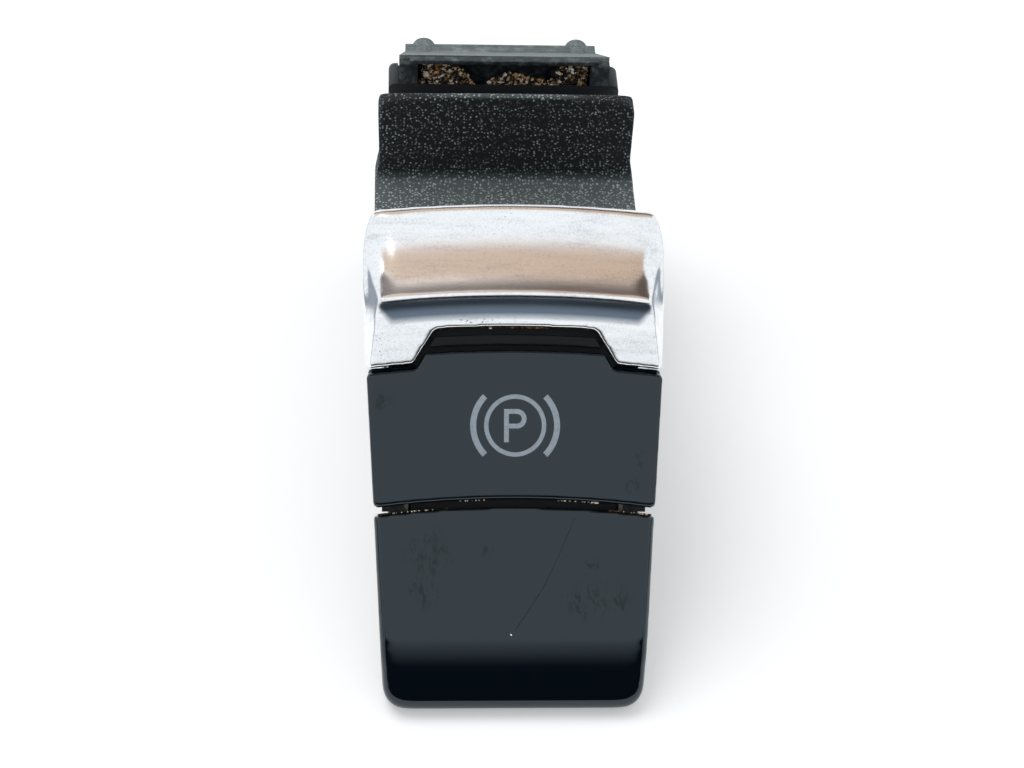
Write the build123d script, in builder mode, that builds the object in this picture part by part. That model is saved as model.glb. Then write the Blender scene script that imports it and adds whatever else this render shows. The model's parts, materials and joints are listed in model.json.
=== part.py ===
from build123d import *
import os
from math import asin, cos, degrees, radians, sin, sqrt, tan

os.makedirs("parts", exist_ok=True)

# Console switch for a parking brake: a housing with two sloping gloss panels, and a lever
# that a finger pulls up behind its cap. Millimetres and degrees. X is to the right, Y runs
# from the toe to the rear, Z is up. The origin is on the base, straight below the pivot.

# Gloss panels. A run goes up the slope from the toe, a rise stands out of the panel plane,
# and the cross lines are arcs about one centre far down the slope.
slope_angle = 45.0
toe_height = 3.0
toe_taper = 2.8
toe_corner = 3.2
toe_drop = 1.2
toe_bend_run = 8.5
toe_bend_radius = 40.0
toe_bevel = 0.8
groove_taper = 3.2
groove_run = 28.4
groove_gap = 1.1
arch_run = -122.0
panel_skin = 2.2
panel_wall = 1.8
panel_depth = 6.6
panel_bevel = 0.35
panel_fit = 0.35
panel_corner = 0.7
lip_wall = 0.8
lip_length = 2.2
lip_swing = 0.7
lip_fit = 0.3
lip_drop = 0.4
seam_drop = 1.2
seam_overlap = 2.0
seam_fit = 0.08
seam_inset = 0.3

# Finger cap
cap_width = 41.8
leg_run = 48.0
leg_gap = 0.65
leg_depth = 6.8
leg_length = 9.2
ridge_rise = 0.9
crest_round = 0.35
cap_length = 12.9
cap_flank = 2.6
flank_depth = 3.0
tip_drop = 3.2
tip_height = 2.2
tip_round = 0.95
cap_corner_x = 3.4
cap_corner_run = 8.0
flank_corner_x = 2.4
tip_over = 0.3
hook_length = 2.4
hook_drop = 4.3
scoop_depth = 0.9
tip_lean = 0.5
band_margin = 3.2
band_below = 2.5
band_depth = 0.4
band_radius = 4.0
notch_height = 4.6
notch_foot_half = 13.75
notch_top_half = 11.0
notch_corner = 1.5
notch_gap = 0.6
tongue_length = 1.4
lens_gap = 0.7
lens_height = 1.4
lens_recess = 0.5

# Lever and pivot
pivot_run = 28.4
pivot_depth = 6.5
pull_angle = 7.0
press_angle = 3.0
pin_radius = 1.25
pin_press = 0.01
pin_running = 0.04
bush_radius = 2.2
bush_flange_radius = 3.2
bush_flange = 0.6
bush_press = 0.01
barrel_radius = 3.95
ear_radius = 3.6
ear_length = 4.0
side_clearance = 0.3
carrier_plate = 2.5
carrier_seat = 0.05
cheek_width = 2.0
cheek_depth = 5.0
skirt_thickness = 2.0
skirt_reach = 1.2
arm_length = 9.0
arm_width = 3.2
arm_thickness = 2.0
arm_end_radius = 1.5
arm_play = 0.05
bar_height = 1.8
bar_half_width = 9.5
bar_half_length = 9.8
neck_width = 6.0
neck_length = 5.0

# Housing
base_thickness = 1.6
board_gap = 0.8
board_thickness = 1.6
chip_height = 0.8
chip_clearance = 0.4
deck_thickness = 1.4
wall = 2.0
body_inset = 3.4
body_tail = 12.9
bulkhead_step = 0.4
bulkhead_thickness = 1.6
cover_front = 5.9
fit = 0.1
press_swing_gap = 0.4

# Finger well behind the cap
finger_drop = 15.7
finger_depth = 23.3
well_gap = 1.6
well_lean = 2.0
well_height = 14.7
well_rim_arch = 1.2
rim_land = 0.7
rim_fall = 2.6
well_inset = 1.85
waist_inset = 2.05
waist_height = 3.4
flare_inset = 1.4
well_skin = 2.0
well_side = 1.2
well_depth = 3.8
well_corner = 2.4
crease_round = 1.6

# Rear tower
tower_behind = 12.0
tower_lift = 3.4
tower_height = 10.3
tower_inset = 5.0
tower_fit = 0.15
front_bar = 1.1
corner_step = 0.7
corner_width = 1.6
post_width = 2.8
frame_depth = 6.0
pocket_depth = 4.6
pocket_sill = 1.5
pocket_head = 0.7
seam = 0.3
hood_wall = 1.4
hood_fall = 12.4
hood_ledge_height = 3.1
hood_ledge_depth = 2.0
hood_narrowing = 1.0
boss_spacing = 24.0
boss_radius = 1.8
boss_drop = 1.25
boss_hole = 1.0
boss_hole_depth = 5.0
boss_length = 6.0
boss_reach = 0.9
shoulder_front_gap = 4.2
shoulder_step_height = 1.0
shoulder_height = 6.0
shoulder_length = 4.9
shoulder_end_height = 0.5
shoulder_round = 1.0

# Return springs and slider
spring_at = 7.4
spring_radius = 1.95
spring_wire = 0.38
spring_turns = 2.5
spring_gap = 0.05
slider_half_width = 5.2
slider_half_length = 3.6
slider_height = 4.4
slider_play = 0.05
slider_floor = 0.95
rail_width = 1.5
rail_height = 2.4
rail_half_length = 7.0
rail_clearance = 0.1
magnet_radius = 1.2
magnet_height = 2.0
magnet_at = 3.4
magnet_fit = 0.03
stop_x = 8.2
stop_y = 8.3
stop_half = 1.1
stop_height = 1.2
stop_gap = 0.08

# Board, lamps, socket and fastenings
board_front = 9.0
board_short = 7.0
board_margin = 0.4
chip_side = 2.0
guide_at = 38.0
guide_half = 2.2
guide_fit = 0.1
guide_flange_half = 3.2
guide_flange = 1.0
guide_top_drop = 6.0
diffuser_half_width = 7.0
diffuser_run = 39.05
diffuser_length = 11.6
diffuser_thickness = 1.2
diffuser_ledge = 1.0
diffuser_fit = 0.06
screw_inset = 4.3
screw_front = 14.0
screw_back = 4.2
screw_radius = 1.0
screw_length = 8.0
screw_head_radius = 1.9
screw_post_radius = 2.4
screw_post_top = 12.0
socket_inset = 7.5
socket_low = 9.0
socket_height = 11.0
socket_wall = 1.3
socket_inside = 6.0
socket_outside = 4.0
socket_floor = 1.6
contact_size = 0.64
contact_columns = 5
contact_pitch = 3.2
contact_row_gap = 3.8
contact_reach = 3.8
clip_at = 62.0
clip_half_length = 7.5
clip_low = 15.0
clip_height = 8.0
clip_bulge = 1.5
clip_sheet = 0.5

# Worked out from the sizes above
ridge_run = leg_run + leg_length
tip_run = ridge_run + cap_length
hook_run = ridge_run + hook_length
band_run = ridge_run - band_below
notch_run = leg_run + notch_height
tongue_run = leg_run + tongue_length
lens_run = tongue_run + lens_gap
groove_width = cap_width - groove_taper
toe_width = groove_width - toe_taper
body_width = cap_width - 2 * body_inset
tower_width = cap_width - 2 * tower_inset
slope_cos, slope_sin = cos(radians(slope_angle)), sin(radians(slope_angle))
toe_y = -(pivot_run * slope_cos + pivot_depth * slope_sin)
pivot_z = toe_height + pivot_run * slope_sin - pivot_depth * slope_cos
upper_run = groove_run + groove_gap / 2
lower_run = groove_run - groove_gap / 2
lip_end = groove_run + lip_length
deck_low = base_thickness + board_gap + board_thickness + chip_height + chip_clearance
deck_top = deck_low + deck_thickness
body_half = body_width / 2
groove_half = groove_width / 2 - panel_wall - panel_fit
front_half = toe_width / 2 - panel_wall - panel_fit
carrier_half = groove_half - wall - bush_flange - side_clearance
bar_low = pivot_z - barrel_radius - bar_height - side_clearance * 2
well_floor = toe_height + tip_run * slope_sin - tip_drop * slope_cos - finger_drop
well_rim = well_floor + well_height
well_crease = tip_run * slope_cos + tip_drop * slope_sin + finger_depth
skirt_base = well_floor - skirt_reach
tower_at = well_crease + tower_behind
tower_base = well_floor + tower_lift
tower_top = tower_base + tower_height
hood_ledge = tower_base + hood_ledge_height
hood_fall_end = tower_at + hood_fall
hood_end = hood_fall_end + hood_ledge_depth
boss_height = hood_ledge - boss_drop
boss_end = hood_end + boss_reach
shoulder_front = well_crease + shoulder_front_gap
shoulder_top = tower_base + shoulder_height
shoulder_end = tower_base + shoulder_end_height
body_end = tower_at + body_tail
socket_half_width = body_half - socket_inset
socket_middle = socket_low + socket_height / 2
socket_front = body_end - socket_inside
socket_end = body_end + socket_outside
screw_x = body_half - screw_inset
screw_rear = body_end - screw_back
board_end = body_end - board_short
contact_rows = (socket_middle - contact_row_gap / 2, socket_middle + contact_row_gap / 2)
contact_tip = socket_front + socket_floor + contact_reach
big = 200.0


def at(run, rise=0.0):
    """Side view point (y, z) of a run up the slope and a rise out of the panel plane."""
    return (toe_y + run * slope_cos - rise * slope_sin, toe_height + run * slope_sin + rise * slope_cos)


def back(distance):
    """The y of a distance behind the toe."""
    return toe_y + distance


def half_at(run):
    """Half the width of the panels at a run."""
    if run < groove_run:
        return (toe_width + (groove_width - toe_width) * run / groove_run) / 2
    return (groove_width + (cap_width - groove_width) * (run - groove_run) / (ridge_run - groove_run)) / 2


def sag(run, half):
    """How far an arched cross line falls from its middle to its ends."""
    radius = run - arch_run
    return radius - sqrt(radius ** 2 - half ** 2)


def stop_top(angle):
    """Height of a stop pad that the bar of the lever just misses at an angle."""
    return bar_low - (stop_y + stop_half) * sin(radians(angle)) - stop_gap


def notch_half(run):
    """Half the width of the notch in the cap at a run."""
    share = (run - leg_run) / (notch_run - leg_run)
    return notch_foot_half + (notch_top_half - notch_foot_half) * share


def arch_line(run, half):
    """Arched cross line of a panel."""
    end = run - sag(run, half)
    return ThreePointArc((-half, end), (0, run), (half, end))


panel = Plane(origin=(0, toe_y, toe_height), x_dir=(1, 0, 0), z_dir=(0, -slope_sin, slope_cos))
arch_axis = Axis((0, *at(arch_run)), panel.z_dir)


def arch_side(swing):
    """Plane of a section that is revolved about the arch centre. It reads (run, rise)."""
    up = panel.y_dir.rotate(Axis((0, 0, 0), panel.z_dir), -swing)
    return Plane(origin=arch_axis.position - up * arch_run, x_dir=up, z_dir=up.cross(panel.z_dir))


def finish(piece, name):
    """Label a finished piece and write it."""
    piece.part.label = name
    export_step(piece.part, f"parts/{name}.step")


# Lower panel: fixed gloss shell that rolls down over the toe
with BuildPart() as lower_panel:
    with BuildSketch(panel) as lower_outline:
        with BuildLine():
            top = arch_line(lower_run, half_at(lower_run))
            Polyline(top @ 1, (half_at(0), 0), (-half_at(0), 0), top @ 0)
        make_face()
        fillet(lower_outline.vertices().group_by(Axis.Y)[0], toe_corner)
    extrude(amount=-panel_depth)
    with BuildSketch(Plane.YZ):
        with BuildLine():
            skin = FilletPolyline(
                at(groove_run, 0), at(toe_bend_run, 0), at(0, -toe_drop), radius=toe_bend_radius
            )
            Polyline(skin @ 1, at(0, -panel_depth), at(groove_run, -panel_depth), skin @ 0)
        make_face()
    extrude(amount=big, both=True, mode=Mode.INTERSECT)
    rim = lower_panel.edges().filter_by(
        lambda edge: panel.to_local_coords(edge.center()).Z > -toe_drop - 0.1
        and (
            abs(edge.center().X) > toe_width / 2 - toe_corner
            or panel.to_local_coords(edge.center()).Y < toe_corner / 4
        )
    )
    chamfer(rim, toe_bevel)
    with BuildSketch(panel.offset(-panel_skin)):
        with BuildLine():
            Polyline(
                (front_half + panel_fit, panel_wall),
                (groove_half + panel_fit, groove_run),
                (-groove_half - panel_fit, groove_run),
                (-front_half - panel_fit, panel_wall),
                close=True,
            )
        make_face()
    extrude(amount=-panel_depth, mode=Mode.SUBTRACT)
    split(bisect_by=Plane.XY, keep=Keep.TOP)
finish(lower_panel, "lower_panel")

# Upper panel: gloss shell of the lever, with a tongue that reaches into the notch of the cap
with BuildPart() as upper_panel:
    with BuildSketch(panel) as upper_outline:
        with BuildLine():
            low = arch_line(upper_run, half_at(upper_run))
            top = arch_line(tongue_run, notch_half(tongue_run) - notch_gap)
            shoulder_run = leg_run - leg_gap
            outer = (half_at(shoulder_run), shoulder_run - sag(shoulder_run, half_at(shoulder_run)))
            foot_half = notch_half(shoulder_run) - notch_gap
            inner = (foot_half, shoulder_run - sag(shoulder_run, foot_half))
            Polyline(low @ 1, outer, inner, top @ 1)
            Polyline(low @ 0, (-outer[0], outer[1]), (-inner[0], inner[1]), top @ 0)
        make_face()
        fillet(upper_outline.vertices(), panel_corner)
    extrude(amount=-panel_depth)
    chamfer(upper_panel.faces().sort_by(Axis(panel.origin, panel.z_dir))[-1].edges(), panel_bevel)
    with BuildSketch(panel.offset(-panel_skin)):
        with BuildLine():
            Polyline(
                (half_at(groove_run) - panel_wall, 0),
                (half_at(groove_run) - panel_wall, groove_run),
                (half_at(leg_run) - panel_wall, leg_run),
                (-half_at(leg_run) + panel_wall, leg_run),
                (-half_at(groove_run) + panel_wall, groove_run),
                (-half_at(groove_run) + panel_wall, 0),
                close=True,
            )
        make_face()
    extrude(amount=-panel_depth, mode=Mode.SUBTRACT)
    with BuildSketch(panel.offset(-panel_skin)):
        with Locations((0, leg_run)):
            Rectangle(2 * notch_foot_half, leg_run / 2)
        with Locations((0, lip_end + lip_swing)):
            Rectangle(2 * (half_at(lower_run) - lip_wall), lip_end, align=(Align.CENTER, Align.MAX))
    extrude(amount=-panel_depth, mode=Mode.SUBTRACT)
    with BuildSketch(panel.offset(-panel_skin)):
        with BuildLine():
            seam_half = half_at(leg_run) - seam_inset
            far_run = leg_run - seam_fit - sag(leg_run, seam_half)
            near_run = leg_run - seam_fit - sag(leg_run, notch_foot_half)
            Polyline(
                (notch_foot_half, near_run), (seam_half, far_run), (seam_half, far_run - seam_overlap),
                (notch_foot_half, near_run - seam_overlap), close=True,
            )
        make_face()
        mirror(about=Plane.YZ)
    extrude(amount=panel_skin - seam_drop)
finish(upper_panel, "upper_panel")


def cap_outline(half, foot_half, corner_x, inset):
    """Outline of the cap in the panel plane, with an elliptical corner at each end of the tip."""
    corner_run = tip_run + tip_over - cap_corner_run
    corner_half = half - corner_x
    foot_run = leg_run - leg_depth
    tip = tip_run + tip_over - inset
    EllipticalCenterArc((corner_half, corner_run), corner_x, cap_corner_run - inset,
                        start_angle=0, arc_size=90)
    EllipticalCenterArc((-corner_half, corner_run), corner_x, cap_corner_run - inset,
                        start_angle=90, arc_size=90)
    Line((corner_half, tip), (-corner_half, tip))
    Polyline(
        (half, corner_run), (half, ridge_run), (foot_half, foot_run),
        (-foot_half, foot_run), (-half, ridge_run), (-half, corner_run),
    )


def cap_flanks(inset):
    """Block between the flanks of the cap, upright below and leaning above, moved in by an inset."""
    foot_half = half_at(leg_run) - inset
    with BuildPart() as block:
        with BuildSketch(panel.offset(-flank_depth)) as low_outline:
            with BuildLine():
                cap_outline(cap_width / 2 - inset, foot_half, cap_corner_x, inset)
            make_face()
        with BuildSketch(panel.offset(ridge_rise)):
            with BuildLine():
                cap_outline(cap_width / 2 - cap_flank - inset, foot_half, flank_corner_x, inset)
            make_face()
        loft(ruled=True)
        extrude(low_outline.sketch, amount=-leg_depth, dir=panel.z_dir)
    return block.part


outer_flanks = cap_flanks(0)
inner_flanks = cap_flanks(panel_wall)

# Hollow of the cap: open below, with a hook face behind which the finger pulls
swing = degrees(asin(cap_width / (leg_run - arch_run)))
with BuildPart() as cap_hollow:
    with BuildSketch(arch_side(swing)):
        with BuildLine():
            Polyline(
                (leg_run - leg_depth, -panel_skin),
                (ridge_run - ridge_rise, -panel_skin),
                (hook_run, -hook_drop),
                (tip_run - panel_skin, -tip_drop - tip_round),
                (tip_run - panel_skin, -leg_depth),
                (leg_run - leg_depth, -leg_depth),
                close=True,
            )
        make_face()
    revolve(axis=arch_axis, revolution_arc=2 * swing)
    add(inner_flanks, mode=Mode.INTERSECT)

# Shallow band under the ridge, with round ends
band_rise = ridge_rise * (1 - band_below / leg_length) - band_depth + band_radius
with BuildPart() as band:
    band_swing = degrees(asin((cap_width / 2 - band_margin) / (band_run - arch_run)))
    with BuildSketch(arch_side(band_swing)):
        with Locations((band_run, band_rise)):
            Circle(band_radius)
    revolve(axis=arch_axis, revolution_arc=2 * band_swing)
    for turn in (-band_swing, band_swing):
        with Locations(arch_side(turn).from_local_coords((band_run, band_rise))):
            Sphere(band_radius)

# Pull cap: chrome shell with leaning flanks, a scoop for the finger, a ridge and the lamp's notch
with BuildPart() as pull_cap:
    with BuildSketch(arch_side(swing)) as cap_side_view:
        with BuildLine():
            crest = (ridge_run, ridge_rise)
            lip = (tip_run, -tip_drop)
            middle = ((crest[0] + lip[0]) / 2, (crest[1] + lip[1]) / 2 - scoop_depth)
            Line((leg_run, 0), crest)
            ThreePointArc(crest, middle, lip)
            Polyline(
                lip, (tip_run - tip_lean, -tip_drop - tip_height), (leg_run, -leg_depth), (leg_run, 0)
            )
        make_face()
        fillet(cap_side_view.vertices().sort_by_distance(crest)[0], crest_round)
        fillet(cap_side_view.vertices().sort_by_distance(lip)[0], tip_round)
    revolve(axis=arch_axis, revolution_arc=2 * swing)
    add(outer_flanks, mode=Mode.INTERSECT)
    add(cap_hollow.part, mode=Mode.SUBTRACT)
    add(band.part, mode=Mode.SUBTRACT)
    with BuildSketch(panel.offset(-panel_skin - ridge_rise)) as notch:
        with BuildLine():
            top = arch_line(notch_run, notch_half(notch_run))
            foot_run = leg_run - sag(leg_run, notch_foot_half) - panel_skin
            Polyline(top @ 1, (notch_half(foot_run), foot_run), (-notch_half(foot_run), foot_run), top @ 0)
        make_face()
        fillet(notch.vertices().group_by(Axis.Y)[-1], notch_corner)
    extrude(amount=2 * leg_depth, mode=Mode.SUBTRACT)
finish(pull_cap, "pull_cap")

# Indicator lens: smoked strip between the tongue and the cap
with BuildPart() as indicator_lens:
    with BuildSketch(panel.offset(-panel_skin)):
        with BuildLine():
            low = arch_line(lens_run, notch_half(lens_run) - notch_gap)
            top = arch_line(lens_run + lens_height, notch_half(lens_run + lens_height) - notch_gap)
            Line(low @ 0, top @ 0)
            Line(low @ 1, top @ 1)
        make_face()
    extrude(amount=panel_skin - lens_recess)
finish(indicator_lens, "indicator_lens")

# Lever carrier: rocker that carries the panel and the cap, with barrel, arm and spring bar
plate_rise = -panel_skin - carrier_seat
plate_end = ridge_run - ridge_rise - sag(ridge_run, carrier_half) - fit
hook_y, hook_z = at(hook_run - sag(hook_run, carrier_half), -hook_drop)
with BuildPart() as lever_carrier:
    with BuildSketch(Plane.YZ):
        with BuildLine():
            Polyline(
                at(pivot_run, plate_rise),
                at(plate_end, plate_rise),
                (hook_y - fit, hook_z - 2 * fit),
                (hook_y - fit, skirt_base),
                (hook_y - fit - skirt_thickness, skirt_base),
                (hook_y - fit - skirt_thickness, hook_z - skirt_thickness * 1.5),
                at(plate_end - carrier_plate, plate_rise - carrier_plate),
                at(pivot_run, plate_rise - carrier_plate),
                close=True,
            )
        make_face()
        with Locations((0, pivot_z)):
            Circle(barrel_radius)
    extrude(amount=carrier_half, both=True)
    for side in (-1, 1):
        with BuildSketch(Plane.YZ.offset(side * (carrier_half - cheek_width / 2))):
            with BuildLine():
                Polyline(
                    at(pivot_run, plate_rise),
                    at(plate_end - carrier_plate, plate_rise),
                    (hook_y - fit - skirt_thickness / 2, skirt_base + skirt_thickness),
                    at(pivot_run + cheek_depth, plate_rise - carrier_plate - cheek_depth / 2),
                    (0, pivot_z),
                    close=True,
                )
            make_face()
        extrude(amount=cheek_width / 2, both=True)
    with Locations((0, 0, bar_low + bar_height / 2)):
        Box(2 * bar_half_width, 2 * bar_half_length, bar_height)
    with Locations((0, 0, bar_low)):
        Box(neck_width, neck_length, pivot_z - bar_low, align=(Align.CENTER, Align.CENTER, Align.MIN))
    with Locations((0, 0, pivot_z - arm_length)):
        Box(arm_width, arm_thickness, arm_length, align=(Align.CENTER, Align.CENTER, Align.MIN))
        Cylinder(arm_end_radius, arm_width, rotation=(0, 90, 0))
    with Locations((0, 0, pivot_z)):
        Cylinder(pin_radius + pin_running, body_width, rotation=(0, 90, 0), mode=Mode.SUBTRACT)
    with BuildSketch(panel.offset(plate_rise)):
        with Locations((0, diffuser_run)):
            Rectangle(2 * (diffuser_half_width + diffuser_fit), diffuser_length + 2 * diffuser_fit)
    extrude(amount=-diffuser_thickness - diffuser_fit, mode=Mode.SUBTRACT)
    with BuildSketch(panel.offset(plate_rise)):
        with Locations((0, diffuser_run)):
            Rectangle(2 * (diffuser_half_width - diffuser_ledge), diffuser_length - 2 * diffuser_ledge)
    extrude(amount=-2 * carrier_plate, mode=Mode.SUBTRACT)
finish(lever_carrier, "lever_carrier")

# Symbol diffuser: milky plate in the carrier, behind the sign
with BuildPart() as symbol_diffuser:
    with BuildSketch(panel.offset(plate_rise)):
        with Locations((0, diffuser_run)):
            Rectangle(2 * diffuser_half_width, diffuser_length)
    extrude(amount=-diffuser_thickness)
finish(symbol_diffuser, "symbol_diffuser")

# Housing: moulded body with the electronics bay below the deck and the lever bay above it
skirt_y = hook_y - fit
well_front = skirt_y + well_gap
wall_rise = plate_rise - press_swing_gap
rest_run = lower_run - sag(lower_run, groove_half) - groove_gap
swing_fall = (ridge_run - pivot_run) * tan(radians(press_angle))
skin_under = well_floor - well_skin
inner_front_run = panel_wall + panel_fit


def at_height(run, height):
    """Side view point at a height on the line that crosses the slope at a run."""
    rise = (height - toe_height - run * slope_sin) / slope_cos
    return at(run, rise)


body_bends = (
    (toe_y, front_half),
    (back(panel_depth * slope_sin), front_half),
    (-ear_length, groove_half),
    (ear_length, groove_half),
    (well_front, body_half),
    (back(body_end), body_half),
)


def body_half_at(y):
    """Half the width of the body at y. It is straight beside the pivot."""
    for (y_low, low), (y_high, high) in zip(body_bends, body_bends[1:]):
        if y <= y_high:
            return low + (high - low) * (y - y_low) / (y_high - y_low)
    return body_half


def body_plan(inset, front, end):
    """Plan outline of the body from front to end."""
    stations = [front] + [y for y, half in body_bends if front < y < end] + [end]
    right = [(body_half_at(y) - inset, y) for y in stations]
    Polyline(*right, *[(-x, y) for x, y in reversed(right)], close=True)


def screw_spots(height):
    """Places of the three cover screws at a height."""
    return [(0, back(screw_front), height), (screw_x, back(screw_rear), height),
            (-screw_x, back(screw_rear), height)]


lip_start = lower_run - sag(lower_run, groove_half) + lip_fit
lip_width = half_at(lower_run) - lip_wall - lip_fit - groove_half + wall / 2
lip_x = half_at(lower_run) - lip_wall - lip_fit - lip_width / 2
with BuildPart() as housing:
    with BuildSketch(Plane.YZ):
        with BuildLine():
            Polyline(
                at_height(inner_front_run, base_thickness),
                at(inner_front_run, -panel_skin),
                at(rest_run, -panel_skin),
                at(rest_run, wall_rise),
                at(ridge_run - ridge_rise - wall, wall_rise - swing_fall),
                (skirt_y - wall, skirt_base + wall),
                (well_front, skin_under),
                (back(shoulder_front), skin_under),
                (back(shoulder_front), tower_base + shoulder_step_height),
                (back(tower_at) - 2 * seam, tower_base + shoulder_step_height),
                (back(tower_at), shoulder_top),
                (back(tower_at + shoulder_length), shoulder_top),
                (back(body_end), shoulder_end),
                (back(body_end), base_thickness),
                close=True,
            )
        make_face()
    extrude(amount=big, both=True)
    with BuildSketch(Plane.XY):
        with BuildLine():
            body_plan(0, toe_y, back(body_end))
        make_face()
    extrude(amount=big, mode=Mode.INTERSECT)
    shoulder_edges = housing.edges().filter_by(
        lambda edge: edge.center().Z > shoulder_end and abs(edge.center().X) > body_half - fit
        and edge.center().Y > back(tower_at)
    )
    fillet(shoulder_edges.filter_by_position(Axis.Z, shoulder_end, shoulder_top + fit), shoulder_round)
    with BuildSketch(Plane.XY.offset(base_thickness)):
        with BuildLine():
            body_plan(wall, back(board_front - board_margin), back(body_end) - wall)
        make_face()
    extrude(amount=deck_low - base_thickness, mode=Mode.SUBTRACT)
    with BuildSketch(Plane.XY.offset(deck_top)):
        with BuildLine():
            body_plan(wall, back(board_front + wall), well_front - bulkhead_step)
        make_face()
    extrude(amount=big, mode=Mode.SUBTRACT)
    with BuildSketch(Plane.YZ):
        with BuildLine():
            Polyline(
                (well_front - bulkhead_step + bulkhead_thickness, deck_low),
                (well_front - bulkhead_step + bulkhead_thickness, skin_under - wall),
                (back(shoulder_front + wall), skin_under - wall),
                (back(shoulder_front + wall), tower_base - wall),
                (back(body_end - wall), tower_base - wall),
                (back(body_end - wall), deck_low),
                close=True,
            )
        make_face()
    extrude(amount=body_half - wall, both=True, mode=Mode.SUBTRACT)
    with Locations((0, back(tower_at), tower_base)):
        Box(tower_width + 2 * tower_fit, big, big, align=(Align.CENTER, Align.MIN, Align.MIN),
            mode=Mode.SUBTRACT)
    for side in (-1, 1):
        with Locations((side * (groove_half - wall / 2), 0, pivot_z)):
            Cylinder(ear_radius, wall, rotation=(0, 90, 0))
        rail_x = slider_half_width + rail_clearance + rail_width / 2
        with Locations((side * rail_x, 0, deck_top - fit)):
            Box(rail_width, 2 * rail_half_length, rail_height + fit,
                align=(Align.CENTER, Align.CENTER, Align.MIN))
        for end, angle in ((-1, pull_angle), (1, press_angle)):
            post_top = stop_top(angle) - stop_height
            with Locations((side * stop_x, end * stop_y, deck_top - fit)):
                Box(2 * stop_half, 2 * stop_half, post_top - deck_top + fit,
                    align=(Align.CENTER, Align.CENTER, Align.MIN))
        with Locations((side * screw_x, back(screw_rear), base_thickness)):
            Cylinder(screw_post_radius, screw_post_top - base_thickness,
                     align=(Align.CENTER, Align.CENTER, Align.MIN))
    with Locations((0, back(screw_front), base_thickness)):
        Cylinder(screw_post_radius, deck_low - base_thickness + fit,
                 align=(Align.CENTER, Align.CENTER, Align.MIN))
    with BuildSketch(panel.offset(-panel_skin - lip_drop)):
        with Locations((lip_x, lip_start), (-lip_x, lip_start)):
            Rectangle(lip_width, lip_end - lip_start, align=(Align.CENTER, Align.MIN))
    extrude(amount=-panel_depth + panel_skin)
    with Locations((0, 0, pivot_z)):
        Cylinder(bush_radius + bush_press, big, rotation=(0, 90, 0), mode=Mode.SUBTRACT)
    with Locations((0, back(guide_at), deck_low)):
        Box(2 * (guide_half + guide_fit), 2 * (guide_half + guide_fit), 3 * deck_thickness,
            mode=Mode.SUBTRACT)
    with Locations((0, back(body_end), socket_middle)):
        Box(2 * (socket_half_width + fit), 3 * wall, socket_height + 2 * fit,
            mode=Mode.SUBTRACT)
    with Locations(*screw_spots(base_thickness)):
        Cylinder(screw_radius + fit / 10, screw_length,
                 align=(Align.CENTER, Align.CENTER, Align.MIN), mode=Mode.SUBTRACT)
finish(housing, "housing")

# Base cover: flat closing plate with ribs that carry the board
with BuildPart() as base_cover:
    with BuildSketch(Plane.XY):
        with BuildLine():
            body_plan(0, back(cover_front), back(body_end))
        make_face()
    extrude(amount=base_thickness)
    for side in (-1, 1):
        with Locations((side * (front_half - wall) / 2, back((board_front + board_end) / 2), base_thickness)):
            Box(wall, board_end - screw_front - 2 * screw_post_radius - wall, board_gap - fit / 2,
                align=(Align.CENTER, Align.CENTER, Align.MIN))
    with Locations(*screw_spots(0)):
        Cylinder(screw_radius + fit, 3 * base_thickness, mode=Mode.SUBTRACT)
        Cone(screw_head_radius + fit, screw_radius + fit, screw_head_radius - screw_radius,
             align=(Align.CENTER, Align.CENTER, Align.MIN), mode=Mode.SUBTRACT)
finish(base_cover, "base_cover")

# Cover screws: countersunk, flush with the base
with BuildPart() as cover_screws:
    with Locations(*screw_spots(fit)):
        Cylinder(screw_radius, screw_length, align=(Align.CENTER, Align.CENTER, Align.MIN))
        Cone(screw_head_radius, screw_radius, screw_head_radius - screw_radius,
             align=(Align.CENTER, Align.CENTER, Align.MIN))
finish(cover_screws, "cover_screws")

# Pivot pin and its two flanged bushes
with BuildPart() as pivot_pin:
    with Locations((0, 0, pivot_z)):
        Cylinder(pin_radius, 2 * groove_half, rotation=(0, 90, 0))
finish(pivot_pin, "pivot_pin")

with BuildPart() as pivot_bushes:
    for side in (-1, 1):
        with Locations((side * (groove_half - wall / 2), 0, pivot_z)):
            Cylinder(bush_radius, wall, rotation=(0, 90, 0))
        with Locations((side * (groove_half - wall - bush_flange / 2), 0, pivot_z)):
            Cylinder(bush_flange_radius, bush_flange, rotation=(0, 90, 0))
    with Locations((0, 0, pivot_z)):
        Cylinder(pin_radius + pin_press, big, rotation=(0, 90, 0), mode=Mode.SUBTRACT)
finish(pivot_bushes, "pivot_bushes")


def coil(y):
    """Return spring of square wire between the deck and the bar of the lever."""
    height = bar_low - deck_top - 2 * spring_gap - spring_wire
    with BuildPart(Plane.XY) as spring:
        with BuildLine():
            path = Helix(height / spring_turns, height, spring_radius,
                         center=(0, y, deck_top + spring_gap + spring_wire / 2))
        with BuildSketch(Plane(origin=path @ 0, z_dir=path % 0)):
            Rectangle(spring_wire, spring_wire)
        sweep()
    return spring


front_spring = coil(-spring_at)
finish(front_spring, "front_spring")
rear_spring = coil(spring_at)
finish(rear_spring, "rear_spring")

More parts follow.
